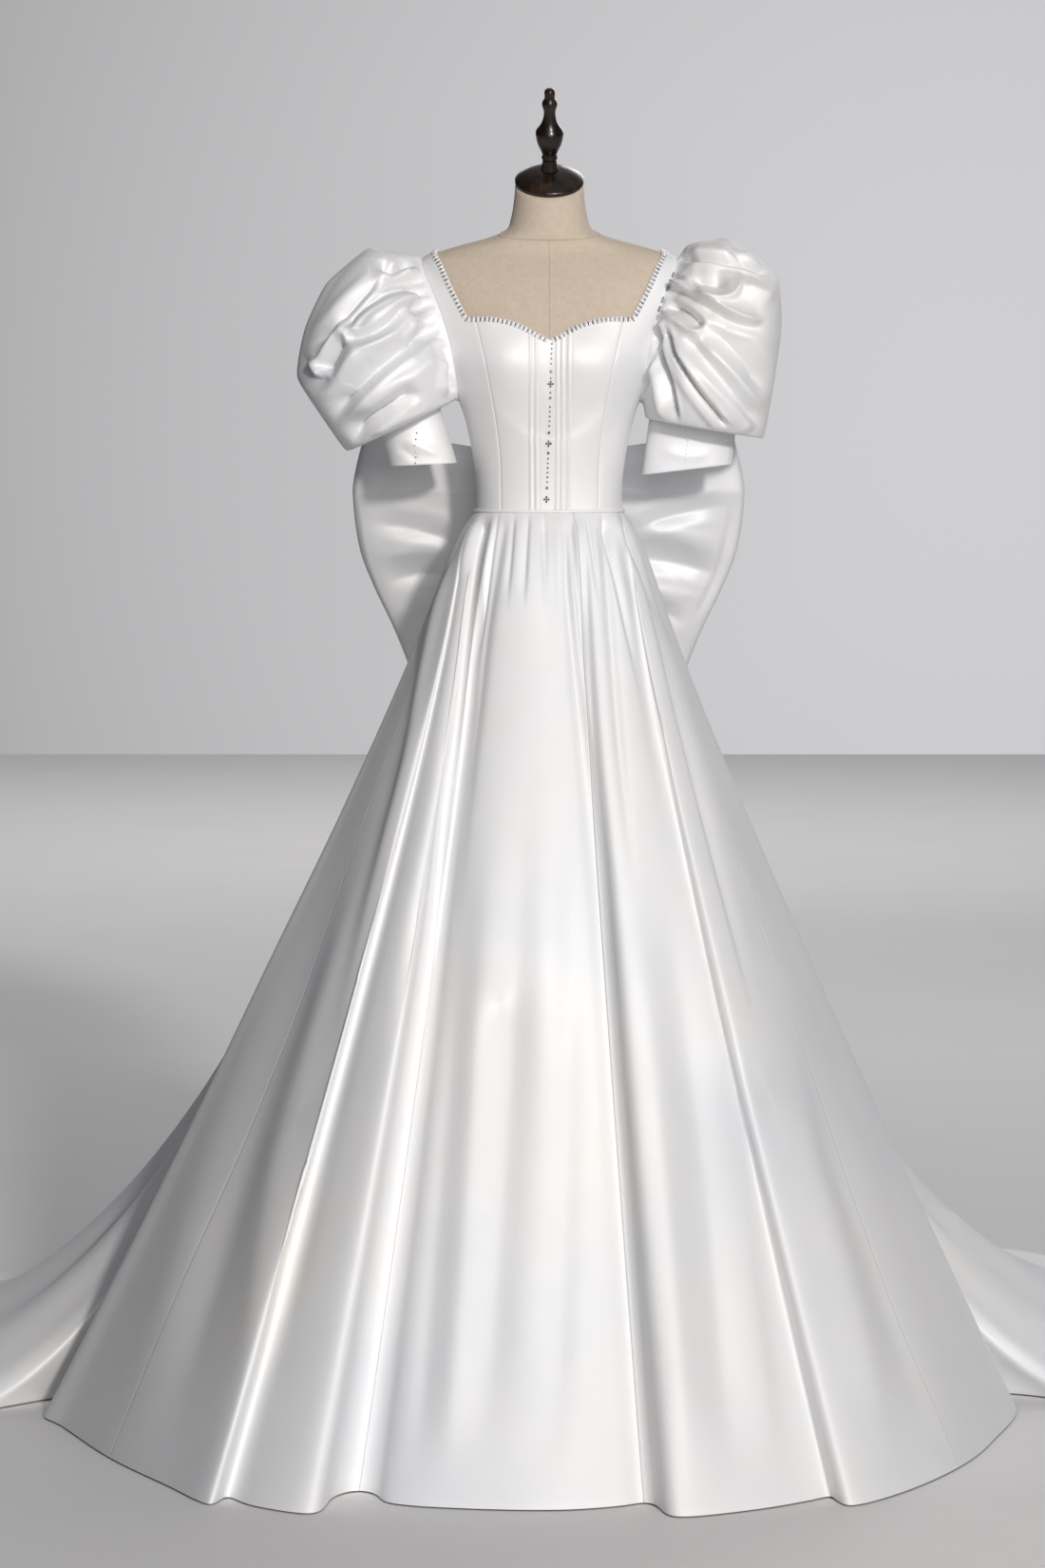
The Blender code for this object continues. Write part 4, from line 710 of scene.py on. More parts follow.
def link_object(name, data):
    """A new object of the scene."""
    item = bpy.data.objects.new(name, data)
    bpy.context.scene.collection.objects.link(item)
    return item


def sheet_object(name, points, wraps=False):
    """Surface through a grid of points, with a map in metres. Places that are not a number stay open."""
    rows, columns = points.shape[:2]
    there = ~np.isnan(points[..., 0])
    index = np.full((rows, columns), -1)
    index[there] = np.arange(there.sum())
    last = columns if wraps else columns - 1
    row, column = np.meshgrid(np.arange(rows - 1), np.arange(last), indexing="ij")
    corners = ((row, column), (row, column + 1), (row + 1, column + 1), (row + 1, column))
    faces = np.stack([index[down, across % columns] for down, across in corners], -1).reshape(-1, 4)
    whole = (faces >= 0).all(1)
    mesh = bpy.data.meshes.new(name)
    mesh.from_pydata(points[there].tolist(), [], faces[whole].tolist())
    filled = np.nan_to_num(points)
    filled = np.concatenate([filled, filled[:, :1]], 1)
    width = np.linalg.norm(np.diff(filled, axis=1), axis=2)
    width[~there] = 0.0
    u = np.concatenate([np.zeros((rows, 1)), np.cumsum(width, 1)], 1)
    u -= u[:, columns // 2][:, None]
    length = np.linalg.norm(np.diff(filled, axis=0), axis=2)
    v = np.concatenate([np.zeros((1, columns + 1)), np.cumsum(length, 0)], 0)
    places = np.stack([np.stack([u[corner], v[corner]], -1) for corner in corners], 2).reshape(-1, 4, 2)
    layer = mesh.uv_layers.new(name="cloth")
    layer.data.foreach_set("uv", places[whole].astype(np.float32).ravel())
    mesh.shade_smooth()
    return link_object(name, mesh)


def close_mesh(mesh, place=Matrix()):
    """Weld a mesh, fill its open ends, turn its faces outward and put it in its place."""
    builder = bmesh.new()
    builder.from_mesh(mesh)
    bmesh.ops.remove_doubles(builder, verts=builder.verts, dist=0.00002)
    bmesh.ops.holes_fill(builder, edges=[edge for edge in builder.edges if edge.is_boundary])
    bmesh.ops.recalc_face_normals(builder, faces=builder.faces)
    builder.transform(place)
    builder.to_mesh(mesh)
    builder.free()


def finish_piece(item, material, slot, *nodes):
    """Give a piece its material and body, and let it stand for CAD nodes; the slot is not used."""
    item.data.materials.clear()
    item.data.materials.append(material)
    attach(item, "root")
    if nodes:
        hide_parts(*nodes)
    return item


def cloth_piece(name, points, node, wraps=False):
    """A thin satin shell whose outer face runs through a grid of points."""
    item = sheet_object(name, points, wraps)
    solid = item.modifiers.new("Cloth", "SOLIDIFY")
    solid.thickness = THIN
    solid.offset = -1.0
    item.modifiers.new("Edges", "WEIGHTED_NORMAL")
    return finish_piece(item, MATERIALS["satin"], "satin", node)


def tube_piece(name, path, outward, radius, material, slot, sides=10, closed=False):
    """Round cord sewn along a path of points."""
    ahead = np.roll(path, -1, 0) - np.roll(path, 1, 0) if closed else np.gradient(path, axis=0)
    ahead = unit(ahead)
    across = unit(np.cross(ahead, outward))
    out = np.cross(across, ahead)
    if closed:
        path, out, across = (np.concatenate([part, part[:1]]) for part in (path, out, across))
    turn = np.radians(np.arange(sides) * 360.0 / sides)
    points = (path[:, None] + radius * np.cos(turn)[None, :, None] * out[:, None]
              + radius * np.sin(turn)[None, :, None] * across[:, None])
    return finish_piece(sheet_object(name, points, wraps=True), material, slot)


def bead_shape(kind):
    """Corners and faces of a small bead of radius one, in a fixed order. A bar is long in z."""
    builder = bmesh.new()
    if kind == "bar":
        bmesh.ops.create_uvsphere(builder, u_segments=8, v_segments=6, radius=1.0)
        for corner in builder.verts:
            if abs(corner.co.z) > 0.01:
                corner.co.z += math.copysign(BAR_STRETCH, corner.co.z)
    else:
        bmesh.ops.create_icosphere(builder, subdivisions=1, radius=1.0)
    order = Vector((1.0, 7.0, 53.0))
    builder.verts.sort(key=lambda corner: corner.co.dot(order))
    builder.verts.index_update()
    corners = np.array([corner.co[:] for corner in builder.verts])
    faces = [[corner.index for corner in face.verts] for face in builder.faces]
    builder.free()
    return corners, sorted(faces, key=sorted)


def bead_piece(name, kind, places, material):
    """Beads in one piece. A place is the middle, the long direction, the outward one and the size."""
    corners, faces = bead_shape(kind)
    all_corners, all_faces = [], []
    for number, (middle, along, outward, size) in enumerate(places):
        along = unit(np.asarray(along, float))
        across = unit(np.cross(outward, along))
        out = np.cross(along, across)
        all_corners.append(np.asarray(middle) + size * (corners[:, :1] * across + corners[:, 1:2] * out
                                                         + corners[:, 2:] * along))
        all_faces += [[index + number * len(corners) for index in face] for face in faces]
    mesh = bpy.data.meshes.new(name)
    mesh.from_pydata(np.concatenate(all_corners).tolist(), [], all_faces)
    if kind == "bar":
        mesh.shade_smooth()
    item = link_object(name, mesh)
    item.data.materials.append(material)
    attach(item, "root")
    return item


# The dress form

def torso_points():
    """Points of the linen torso, sloped forward at the top of the neck."""
    heights = np.unique(np.concatenate([np.linspace(*rows) for rows in TORSO_ROWS]))
    turns = np.arange(0.0, 360.0, TORSO_STEP)
    points = body_surface(turns[None, :], heights[:, None])
    share = (points[..., 2] - CAP_LEAN_START) / (NECK_TOP - CAP_LEAN_START)
    points[..., 2] += points[..., 1] * math.tan(CAP_TILT) * np.clip(share, 0.0, 1.0)
    return points


def build_torso():
    """Linen torso with its ends closed."""
    item = sheet_object("linen_torso", torso_points(), wraps=True)
    close_mesh(item.data)
    finish_piece(item, MATERIALS["linen"], "linen", "form_torso")


def turned_piece(name, profile, place, node, steps=64):
    """Turned wooden piece from a profile of radius and height."""
    radius, height = finer(profile).T[..., None]
    radius = np.maximum(radius, 0.0)
    angles = np.radians(np.arange(0.0, 360.0, 360.0 / steps))
    points = np.stack(np.broadcast_arrays(radius * np.cos(angles), radius * np.sin(angles), height), -1)
    item = sheet_object(name, points, wraps=True)
    close_mesh(item.data, place)
    item.data.set_sharp_from_angle(angle=math.radians(50))
    finish_piece(item, MATERIALS["dark_wood"], "dark_wood", node)


def build_head():
    """Domed cap and finial, square to the neck's sloping top."""
    dome = [(CAP_RADIUS * share, CAP_EDGE + CAP_DOME * (1.0 - share ** CAP_CURVE))
            for share in np.linspace(0.0, 1.0, 9)]
    edge = [(CAP_RADIUS + CAP_ROUND, CAP_EDGE * 0.5), (CAP_RADIUS, CAP_ROUND), (CAP_RADIUS - CAP_ROUND, 0.0)]
    seat = Matrix.Translation((0.0, 0.0, NECK_TOP)) @ Matrix.Rotation(CAP_TILT, 4, "X")
    crown = CAP_EDGE + CAP_DOME + SEAM_GAP * 2.0
    for name, profile, rise, node in (("wood_neck_cap", dome + edge, SEAM_GAP, "form_neck_cap"),
                                      ("wood_finial", FINIAL_PROFILE, crown, "form_finial")):
        turned_piece(name, profile, seat @ Matrix.Translation((0.0, 0.0, rise)), node)


# The bodice

def armhole(angle, grown=0.0):
    """Turn and height of the armhole's edge: 0 at the shoulder, 90 at the front, 180 underarm."""
    radians = np.radians(angle)
    height = ARMHOLE_Z + (ARMHOLE_HALF + grown) * np.cos(radians)
    reach = ARMHOLE_TURN * (1.0 + grown / ARMHOLE_HALF)
    reach = reach * np.abs(np.sin(radians)) ** ARMHOLE_POWER
    return 90.0 - np.sign(np.sin(radians)) * reach, height


def back_armhole(angle, grown=0.0):
    """The same on the back."""
    turn, height = armhole(angle, grown)
    return 180.0 - turn, height


def princess(height):
    """Turn of the princess seam."""
    return turn_at(read_table(PRINCESS, height)[0], height)


def centre_back(height):
    """Turn of the centre back seam."""
    return np.full(np.shape(height), 180.0)


def panel_grid(seam, edge, strap, beside, under):
    """Turns and heights of a side front or a back, from its seam to the armhole, strap on top."""
    low = np.linspace(WAIST_Z, ARMHOLE_Z - ARMHOLE_HALF, 40)[:-1]
    half_angles = np.linspace(180.0, 90.0, 34)
    top_angles = np.linspace(90.0, 0.0, 40)[1:]
    neck_turn, neck_height = read_table(strap, 90.0)
    heights = np.concatenate([low, np.linspace(low[-1], neck_height, len(half_angles) + 1)[1:]])
    inner = np.stack([seam(heights), heights])
    below = np.stack([np.full(len(low), 90.0), low])
    outer = np.concatenate([below, edge(half_angles, SEAM_GAP / 2.0)], 1)
    neck_share = (neck_turn - outer[0, -1]) / (inner[0, -1] - outer[0, -1])
    middle = mix(outer, inner, mix(0.45, neck_share, np.linspace(0.0, 1.0, len(heights))))
    inner, middle, outer = inner[..., None], middle[..., None], outer[..., None]
    near, far = np.linspace(0.0, 1.0, beside)[:-1], np.linspace(0.0, 1.0, under)
    panel = np.concatenate([mix(inner, middle, near), mix(middle, outer, far)], 2)
    strap_edge = np.stack(edge(top_angles, SEAM_GAP / 2.0))[..., None]
    top = mix(read_table(strap, top_angles)[..., None], strap_edge, far)
    open_part = np.full((2, len(top_angles), beside - 1), np.nan)
    return np.concatenate([panel, np.concatenate([open_part, top], 2)], 1)


def seam_drop(distance):
    """Drop of the cloth at a distance from a seam."""
    return -SEAM_DROP * np.exp(-(distance / SEAM_SOFT) ** 2)


def panel_points(turns, heights, side):
    """Outer face of a bodice panel, turned in a little at its seam."""
    missing = np.isnan(turns)
    turns, heights = np.nan_to_num(turns), np.nan_to_num(heights, nan=WAIST_Z)
    points = body_point(turns, heights, ease(heights) + CLOTH)
    from_seam = np.linalg.norm(points - points[:, :1], axis=-1)
    points += body_normal(turns, heights) * seam_drop(from_seam)[..., None]
    points[missing] = np.nan
    points[..., 0] *= SIDES[side]
    return points


def build_side_panels():
    """Side fronts and backs with their straps. A panel's columns are turned round on its flipped side."""
    panels = (("side_front", princess, armhole, STRAP_INNER, 22, 20, "right"),
              ("back", centre_back, back_armhole, BACK_STRAP_INNER, 36, 18, "left"))
    for side in SIDES:
        for name, seam, edge, strap, beside, under, flipped in panels:
            points = panel_points(*panel_grid(seam, edge, strap, beside, under), side)
            if side == flipped:
                points = points[:, ::-1]
            cloth_piece(f"satin_{name}_{side}", points, f"bodice_{name}_{side}")


def neckline(across):
    """Height of the sweetheart edge."""
    return read_table(NECKLINE, np.abs(across))[0]


def front_points():
    """Outer face of the centre front with its raised tucks."""
    level = np.linspace(0.0, 1.0, 80)[:, None]
    place = np.linspace(-1.0, 1.0, 150)[None, :]
    seam_height = mix(WAIST_Z, PRINCESS[-1][0], level)
    across = place * read_table(PRINCESS, seam_height)[0]
    top = neckline(place * PRINCESS[-1][1])
    height = mix(WAIST_Z, top, level)
    rise = np.zeros(across.shape)
    dip, dip_at, dip_half = TUCK_DIP
    for high, low in TUCKS:
        away = across - mix(low, high, level)
        rise += TUCK_RISE * np.exp(-(away / TUCK_HALF) ** 2)
        rise -= dip * np.exp(-((away - dip_at) / dip_half) ** 2)
    rise = rise + seam_drop((1.0 - np.abs(place)) * PRINCESS[-1][1])
    turn = turn_at(across, height)
    return body_point(turn, height, ease(height) + CLOTH + rise)


# The sleeves and cuffs

def ring_points(values, angle, side):
    """Points of a sleeve's or cuff's ring: 0 outside, 90 front, 180 underarm, 270 back."""
    outer_x, outer_z, inner_x, inner_z, front, back = values
    cosine, sine = np.cos(np.radians(angle)), np.sin(np.radians(angle))
    along = signed_power(cosine, 2.0 / SLEEVE_POWER)
    deep = signed_power(sine, 2.0 / SLEEVE_POWER)
    x = (outer_x + inner_x) / 2.0 + (outer_x - inner_x) / 2.0 * along
    z = (outer_z + inner_z) / 2.0 + (outer_z - inner_z) / 2.0 * along
    y = -deep * np.where(sine > 0, front, back)
    return np.stack(np.broadcast_arrays(x * SIDES[side], y, z), -1)


def fold_rise(folds, angle, share):
    """Height of a sleeve's main folds."""
    total = np.zeros(np.broadcast(angle, share).shape)
    for start_turn, end_turn, start, end, half, rise in folds:
        along = (share - start) / (end - start)
        inside = (along >= 0.0) & (along <= 1.0)
        along = np.clip(along, 0.0, 1.0)
        away = (angle - mix(start_turn, end_turn, along) + 180.0) % 360.0 - 180.0
        total += inside * rise * np.sin(np.pi * along ** 0.7) * np.exp(-(away / half) ** 2)
    return total


def gather_rise(angle, share, count, depth, start, end, seed):
    """Small uneven gathers round a sleeve, deepest at the start share."""
    chance = np.random.default_rng(seed)
    total = np.zeros(np.broadcast(angle, share).shape)
    for middle in np.linspace(0.0, 360.0, count, endpoint=False) + chance.uniform(-4, 4, count):
        half = chance.uniform(2.0, 3.4)
        reach = chance.uniform(0.55, 1.0)
        drift = chance.uniform(-6.0, 6.0)
        rise = depth * chance.uniform(0.5, 1.0)
        along = np.clip((share - start) / ((end - start) * reach), 0.0, 1.0)
        away = (angle - middle - drift * along + 180.0) % 360.0 - 180.0
        total += rise * (1.0 - along) ** 2 * np.exp(-(away / (half * (1 + 1.5 * along))) ** 2)
    return total


def sleeve_base(side, share, angle):
    """Plain surface of a puffed sleeve, seated round the armhole."""
    points = ring_points(read_table(SLEEVE_RINGS[side], share), angle, side)
    rise = np.clip(share / SLEEVE_ROOT, 0.0, 1.0)
    turn, height = armhole(angle, -SEAM_GAP * (1.0 + rise * 2.0))
    rise = rise * mix(0.35, 1.0, (1.0 + np.cos(np.radians(angle))) / 2.0)
    root = body_point(turn * SIDES[side], height, ease(height) + SEAM_GAP + SLEEVE_ROOT_RISE * rise)
    return mix(root, points, smooth_step(SLEEVE_ROOT, SLEEVE_BLEND, share)[..., None])


def sleeve_relief(points, normals, side, share, angle):
    """Height of a sleeve's folds: drawn ones in front and behind, plain ones between, and gathers."""
    other = "left" if side == "right" else "right"
    facing = smooth_step(0.0, FACING, -normals[..., 1])
    behind = smooth_step(0.0, FACING, normals[..., 1])
    drawn = facing * stroke_rise(*drawn_place(points), SLEEVE_STROKES[side], STRENGTH["sleeve"])
    drawn += behind * stroke_rise(-points[..., 0], points[..., 2], SLEEVE_STROKES[other],
                                  STRENGTH["sleeve_back"])
    plain = fold_rise(SLEEVE_FOLDS[side], angle, share) * (1.0 - np.maximum(facing, behind))
    gathers = gather_rise(angle, share, *ARMHOLE_GATHERS, GATHER_SEEDS[side]) * (1.0 - 0.4 * facing)
    gathers += gather_rise(angle, 1.0 - share, *CUFF_GATHERS, GATHER_SEEDS[side] + 1)
    settle = smooth_step(SLEEVE_ROOT, SLEEVE_ROOT + 0.05, share) * (1.0 - smooth_step(0.94, 1.0, share))
    return (plain + drawn + gathers) * settle


def trimmed(points, edges, weight):
    """Points drawn in to the straight outlines of the front view, by a weight."""
    x, z = drawn_place(points)
    middle = np.array([x.mean(), z.mean()])
    for start_x, start_z, end_x, end_z in edges:
        out = unit(np.array([end_z - start_z, start_x - end_x]))
        out *= np.sign(out @ ([start_x, start_z] - middle))
        beyond = (x - start_x) * out[0] + (z - start_z) * out[1]
        cut = np.log1p(np.exp(np.clip(beyond / EDGE_SOFT, -30, 30))) * EDGE_SOFT * 0.9 * weight
        points = points - np.stack([cut * out[0], cut * 0.0, cut * out[1]], -1)
        x, z = x - cut * out[0], z - cut * out[1]
    return points


def sleeve_points(side):
    """Outer face of a puffed sleeve with its folds, with more columns on its front."""
    rows, columns = SLEEVE_GRID
    share = np.linspace(0.0, 1.0, rows)[:, None]
    angle = np.linspace(0.0, 360.0, columns, endpoint=False)[None, :]
    angle = angle + FRONT_CROWD * (np.cos(np.radians(angle)) - 1.0)
    points = sleeve_base(side, share, angle)
    normals = grid_normals(points, wraps=True) * SIDES[side]
    points = points + normals * sleeve_relief(points, normals, side, share, angle)[..., None]
    return trimmed(points, SLEEVE_EDGES[side], smooth_step(SLEEVE_ROOT, SLEEVE_BLEND, share))


def cuff_points(side):
    """Outer face of a cuff."""
    rows, columns = CUFF_GRID
    top, hem = CUFFS[side]
    share = np.linspace(0.0, 1.0, rows)[:, None]
    values = [mix(high, low, share) for high, low in zip(top, hem)]
    angle = np.linspace(0.0, 360.0, columns, endpoint=False)[None, :]
    points = ring_points(values + [values[-1]], angle, side)
    points[0] += (points[1] - points[0]) * 0.2
    normals = grid_normals(points, wraps=True) * SIDES[side]
    rise = stroke_rise(*drawn_place(points), CUFF_STROKES[side], STRENGTH["cuff"])
    rise *= smooth_step(0.0, FACING, -normals[..., 1])
    return points + normals * rise[..., None]


# The skirt

def hem_keys():
    """Stations in metres, keyed by the length of the hem up to them."""
    rows = [row if len(row) > 3 else row + row[1:] + (0, 0) for row in SKIRT_STATIONS]
    table = np.array(rows, float) * (1.0, MM, MM, MM, MM, 1.0, MM)
    steps = np.hypot(np.diff(table[:, 1]), np.diff(table[:, 2]))
    return np.column_stack([np.concatenate([[0.0], np.cumsum(steps)]), table])


def skirt_points(keyed, length, share):
    """Points of the skirt at lengths along the hem and shares of the way down."""
    turn, hem_x, hem_y, land_x, land_y, flow, lift = read_table(keyed, length)
    top = WAIST_Z - SKIRT_SEAM_DROP
    waist = body_point(turn, np.full(turn.shape, WAIST_Z), EASE + CLOTH)
    waist[..., 2] = top
    hem = np.stack([hem_x, hem_y, HEM_Z + lift * HEM_LIFT], -1)
    high, low = mix(waist, hem, FALL_IN[0]), mix(waist, hem, FALL_IN[1])
    high[..., 2], low[..., 2] = mix(top, HEM_Z, 1.0 / 3.0), mix(top, HEM_Z, 2.0 / 3.0)
    land = np.stack([land_x, land_y, HEM_Z + lift * LAND_LIFT], -1)
    sweep = mix(waist, land, FLOW_REACH)
    sweep[..., 2] = top * FLOW_DROP
    flow = flow[..., None]
    high, low = mix(high, sweep, flow), mix(low, land, flow)
    share = share[:, None, None]
    rest = 1.0 - share
    points = (waist * rest ** 3 + high * 3.0 * rest ** 2 * share
              + low * 3.0 * rest * share ** 2 + hem * share ** 3)
    puff = HIP_PUFF * share / HIP_PUFF_AT * np.exp(1.0 - share / HIP_PUFF_AT)
    return points + unit(waist * (1.0, 1.0, 0.0)) * puff


def drawn_skirt(points, share):
    """Skirt points with the folds that are drawn on the front."""
    normals = -grid_normals(points)
    rise = stroke_rise(*drawn_place(points), SKIRT_STROKES, STRENGTH["skirt"], soft=True)
    rise *= smooth_step(0.0, 0.35, -normals[..., 1]) * smooth_step(0.0, 0.02, share)[:, None]
    return points + normals * rise[..., None]


def build_skirt():
    """Skirt panels from the waist seam to the hem, with half a seam's gap at each side."""
    keyed = hem_keys()
    share = np.linspace(0.0, 1.0, SKIRT_ROWS) ** ROW_CROWD
    for name, first, last, columns in SKIRT_PANELS:
        length = np.linspace(*np.interp((first, last), keyed[:, 1], keyed[:, 0]), columns)
        to_end = np.minimum(length - keyed[0, 0], keyed[-1, 0] - length)
        free = np.clip(to_end / PLEAT_SOFT[-1][0], 0.0, 1.0)
        points = sum(weight * skirt_points(keyed, length + shift * free, share)
                     for shift, weight in PLEAT_SOFT)
        if last > -90.0 and first < 90.0:
            points = drawn_skirt(points, share)
        for edge, inside in ((0, 1), (-1, -2)):
            points[:, edge] += unit(points[:, inside] - points[:, edge]) * SEAM_GAP * 0.5
        cloth_piece("satin_skirt_" + name, points[:, ::-1], "skirt_" + name)


# The bow

def knot_front():
    """Distance of the knot's front from the centre."""
    return float(body_point(180.0, KNOT_HIGH - KNOT_EDGE, EASE + CLOTH)[1]) + KNOT_SEAT


def loop_points(side):
    """Outer face of a bow loop, from the knot along its front layer and back along the other."""
    rows, columns = LOOP_GRID
    around = np.linspace(0.0, 1.0, columns)[None, :]
    down = np.linspace(0.0, 1.0, rows)[:, None]
    reach_share, behind = read_table(LOOP_PATH, around)
    reach_share = np.clip(reach_share, 0.0, None)
    spread = reach_share ** LOOP_SPREAD
    top = mix(LOOP_TOP[0], LOOP_TOP[1], spread)
    bottom = mix(LOOP_BOTTOM[0], LOOP_BOTTOM[1], spread)
    height = mix(top, bottom, down)
    reach = mix(KNOT_HALF_WIDTH + LOOP_ROOT_GAP, read_table(LOOP_REACH, height)[0], reach_share)
    fold = np.zeros(height.shape)
    for middle, half, rise in LOOP_FOLDS:
        fold += rise * np.exp(-np.abs((down - middle) / half) ** (1.2 if rise < 0 else 1.7))
    fold *= np.where(around < 0.5, 0.5, 1.0) * np.sin(np.pi * np.clip(reach_share, 0.0, 1.0)) ** 0.8
    layer = np.where(around < 0.5, 1.0, -1.0)
    back = behind + LOOP_LEAN * np.maximum(0.0, KNOT_LOW + 0.02 - height) - fold * layer
    points = np.stack([reach * SIDES[side], knot_front() + back, height], -1)
    drawn = stroke_rise(*drawn_place(points), BOW_STROKES[side], STRENGTH["bow"])
    drawn *= 1.0 - smooth_step(0.44, 0.52, around)
    points[..., 1] -= drawn * smooth_step(0.0, 0.15, reach_share)
    return points


def knot_points():
    """A rounded block with a faint crease, pinched in at its middle."""
    rows, columns = KNOT_GRID
    rise = np.radians(np.linspace(-90.0, 90.0, rows))[:, None]
    turn = np.radians(np.linspace(0.0, 360.0, columns, endpoint=False))[None, :]
    flat = np.abs(np.cos(rise)) ** 0.35
    crease = 1.0 - 0.05 * np.cos(turn * 2.0) * np.cos(rise * 6.0) ** 2
    pinch = 1.0 - 0.10 * np.exp(-(rise / 0.5) ** 2)
    x = signed_power(np.sin(turn), 0.5) * flat * KNOT_HALF_WIDTH * crease * pinch
    y = signed_power(np.cos(turn), 0.5) * flat * KNOT_DEPTH / 2.0 * crease
    z = signed_power(np.sin(rise), 0.6) * (KNOT_HIGH - KNOT_LOW) / 2.0
    middle = (0.0, knot_front() + KNOT_DEPTH / 2.0, (KNOT_HIGH + KNOT_LOW) / 2.0)
    return np.stack(np.broadcast_arrays(x, y, z), -1) + middle


def build_bow():
    """Two loops and a padded knot."""
    for side in SIDES:
        points = loop_points(side)
        if side == "left":
            points = points[:, ::-1]
        cloth_piece("satin_bow_loop_" + side, points, "bow_loop_" + side)
    item = sheet_object("satin_bow_knot", knot_points(), wraps=True)
    close_mesh(item.data)
    finish_piece(item, MATERIALS["satin"], "satin", "bow_knot")


# Trim and beads

def neckline_edge():
    """Turns and heights along the neckline, from the centre front over the left strap to the back."""
    across = np.linspace(0.0, PRINCESS[-1][1], 60)
    heights = neckline(across)
    parts = [np.stack([turn_at(across, heights), heights])]
    parts.append(read_table(STRAP_INNER, np.linspace(90.0, 0.0, 60)))
    parts.append(read_table(BACK_STRAP_INNER, np.linspace(0.0, 90.0, 60))[:, 1:])
    turns = np.linspace(BACK_STRAP_INNER[-1][1], 180.0, 30)[1:]
    parts.append(np.stack([turns, np.full(turns.shape, BACK_STRAP_INNER[-1][2])]))
    return np.concatenate(parts, 1)


def along_edge(pitch, start, depth, rise):
    """Places at a pitch along the neckline: point, direction into the cloth, outward direction."""
    turns, heights = neckline_edge()
    path = body_point(turns, heights, ease(heights) + CLOTH)
    travelled = np.concatenate([[0.0], np.cumsum(np.linalg.norm(np.diff(path, axis=0), axis=1))])
    marks = np.arange(start, travelled[-1], pitch)
    turn = np.interp(marks, travelled, turns)
    height = np.interp(marks, travelled, heights)
    normal = body_normal(turn, height)
    ahead = np.stack([np.interp(marks + 0.002, travelled, path[:, axis])
                      - np.interp(marks - 0.002, travelled, path[:, axis]) for axis in range(3)], -1)
    inward = unit(np.cross(unit(ahead), normal))
    point = body_point(turn, height, ease(height) + CLOTH) + inward * depth + normal * rise
    return point, inward, normal


def both_sides(places):
    """Places on the wearer's left, and the same mirrored."""
    flip = np.array([-1.0, 1.0, 1.0])
    return places + [(middle * flip, along * flip, outward * flip, size)
                     for middle, along, outward, size in places]


def centre_crystals():
    """Places of the crystals down the centre front: small ones in a line, large ones with petals."""
    (top, top_x), (bottom, bottom_x) = CENTRE_LINE
    taken = [height for height, _ in CENTRE_CRYSTALS]
    line = [(height, "small") for height in np.arange(top, bottom, -CENTRE_PITCH)
            if min(abs(height - other) for other in taken) > CENTRE_PITCH * 0.9]
    places = []
    for height, kind in line + list(CENTRE_CRYSTALS):
        across = mix(bottom_x, top_x, (height - bottom) / (top - bottom))
        turn = turn_at(np.array(across), np.array(height))
        normal = body_normal(turn, height)
        middle = body_point(turn, height, ease(height) + CLOTH + CRYSTAL_RISE)
        places.append((middle, UP, normal, CRYSTAL_SIZES[kind]))
        if kind == "large":
            places += [(middle + (x, 0.0, z), UP, normal, PETAL_SIZE) for x, z in PETALS]
    return places


def armhole_crystals():
    """Places of the long crystals in front of the left armhole."""
    places = []
    for angle in ARMHOLE_CRYSTALS:
        turn, height = armhole(np.array([angle, angle + 4.0]), ARMHOLE_CRYSTAL_IN)
        middle, below = body_point(turn, height, ease(height) + CLOTH + ARMHOLE_CRYSTAL_RISE)
        places.append((middle, below - middle, body_normal(turn, height)[0], ARMHOLE_CRYSTAL_SIZE))
    return places


def cuff_beads(side, across, pitch, radius):
    """Places of a row of beads down the front of a cuff."""
    top, hem = CUFFS[side]
    grid = cuff_points(side)
    front = grid[..., 1] < 0.0
    normals, grid = (grid_normals(grid, wraps=True) * SIDES[side])[front], grid[front]
    places = []
    for height in np.arange(hem[1] + CUFF_BEAD_ENDS[0], top[1] - CUFF_BEAD_ENDS[1], pitch):
        nearest = np.hypot(np.abs(grid[:, 0]) - across, grid[:, 2] - height).argmin()
        places.append((grid[nearest], UP, normals[nearest], radius))
    return places


def build_trim():
    """Neckline bars, dark dots between them that paint the gaps' shade too, crystals down the front and at
    the armhole, cuff beads.
    """
    for name, start, depth, rise, radius, finish in NECKLINE_BEADS:
        places = [place + (radius,) for place in zip(*along_edge(BAR_PITCH, start, depth, rise))]
        bead_piece(name, "bar", both_sides(places), MATERIALS[finish])
    bead_piece("centre_crystals", "crystal", centre_crystals(), MATERIALS["dark_crystal"])
    bead_piece("armhole_crystals", "bar", armhole_crystals(), MATERIALS["dark_crystal"])
    for number, (side, across, pitch, radius, finish) in enumerate(CUFF_BEADS):
        places = cuff_beads(side, across, pitch, radius)
        bead_piece(f"cuff_beads_{side}_{number}", "crystal", places, MATERIALS[finish])


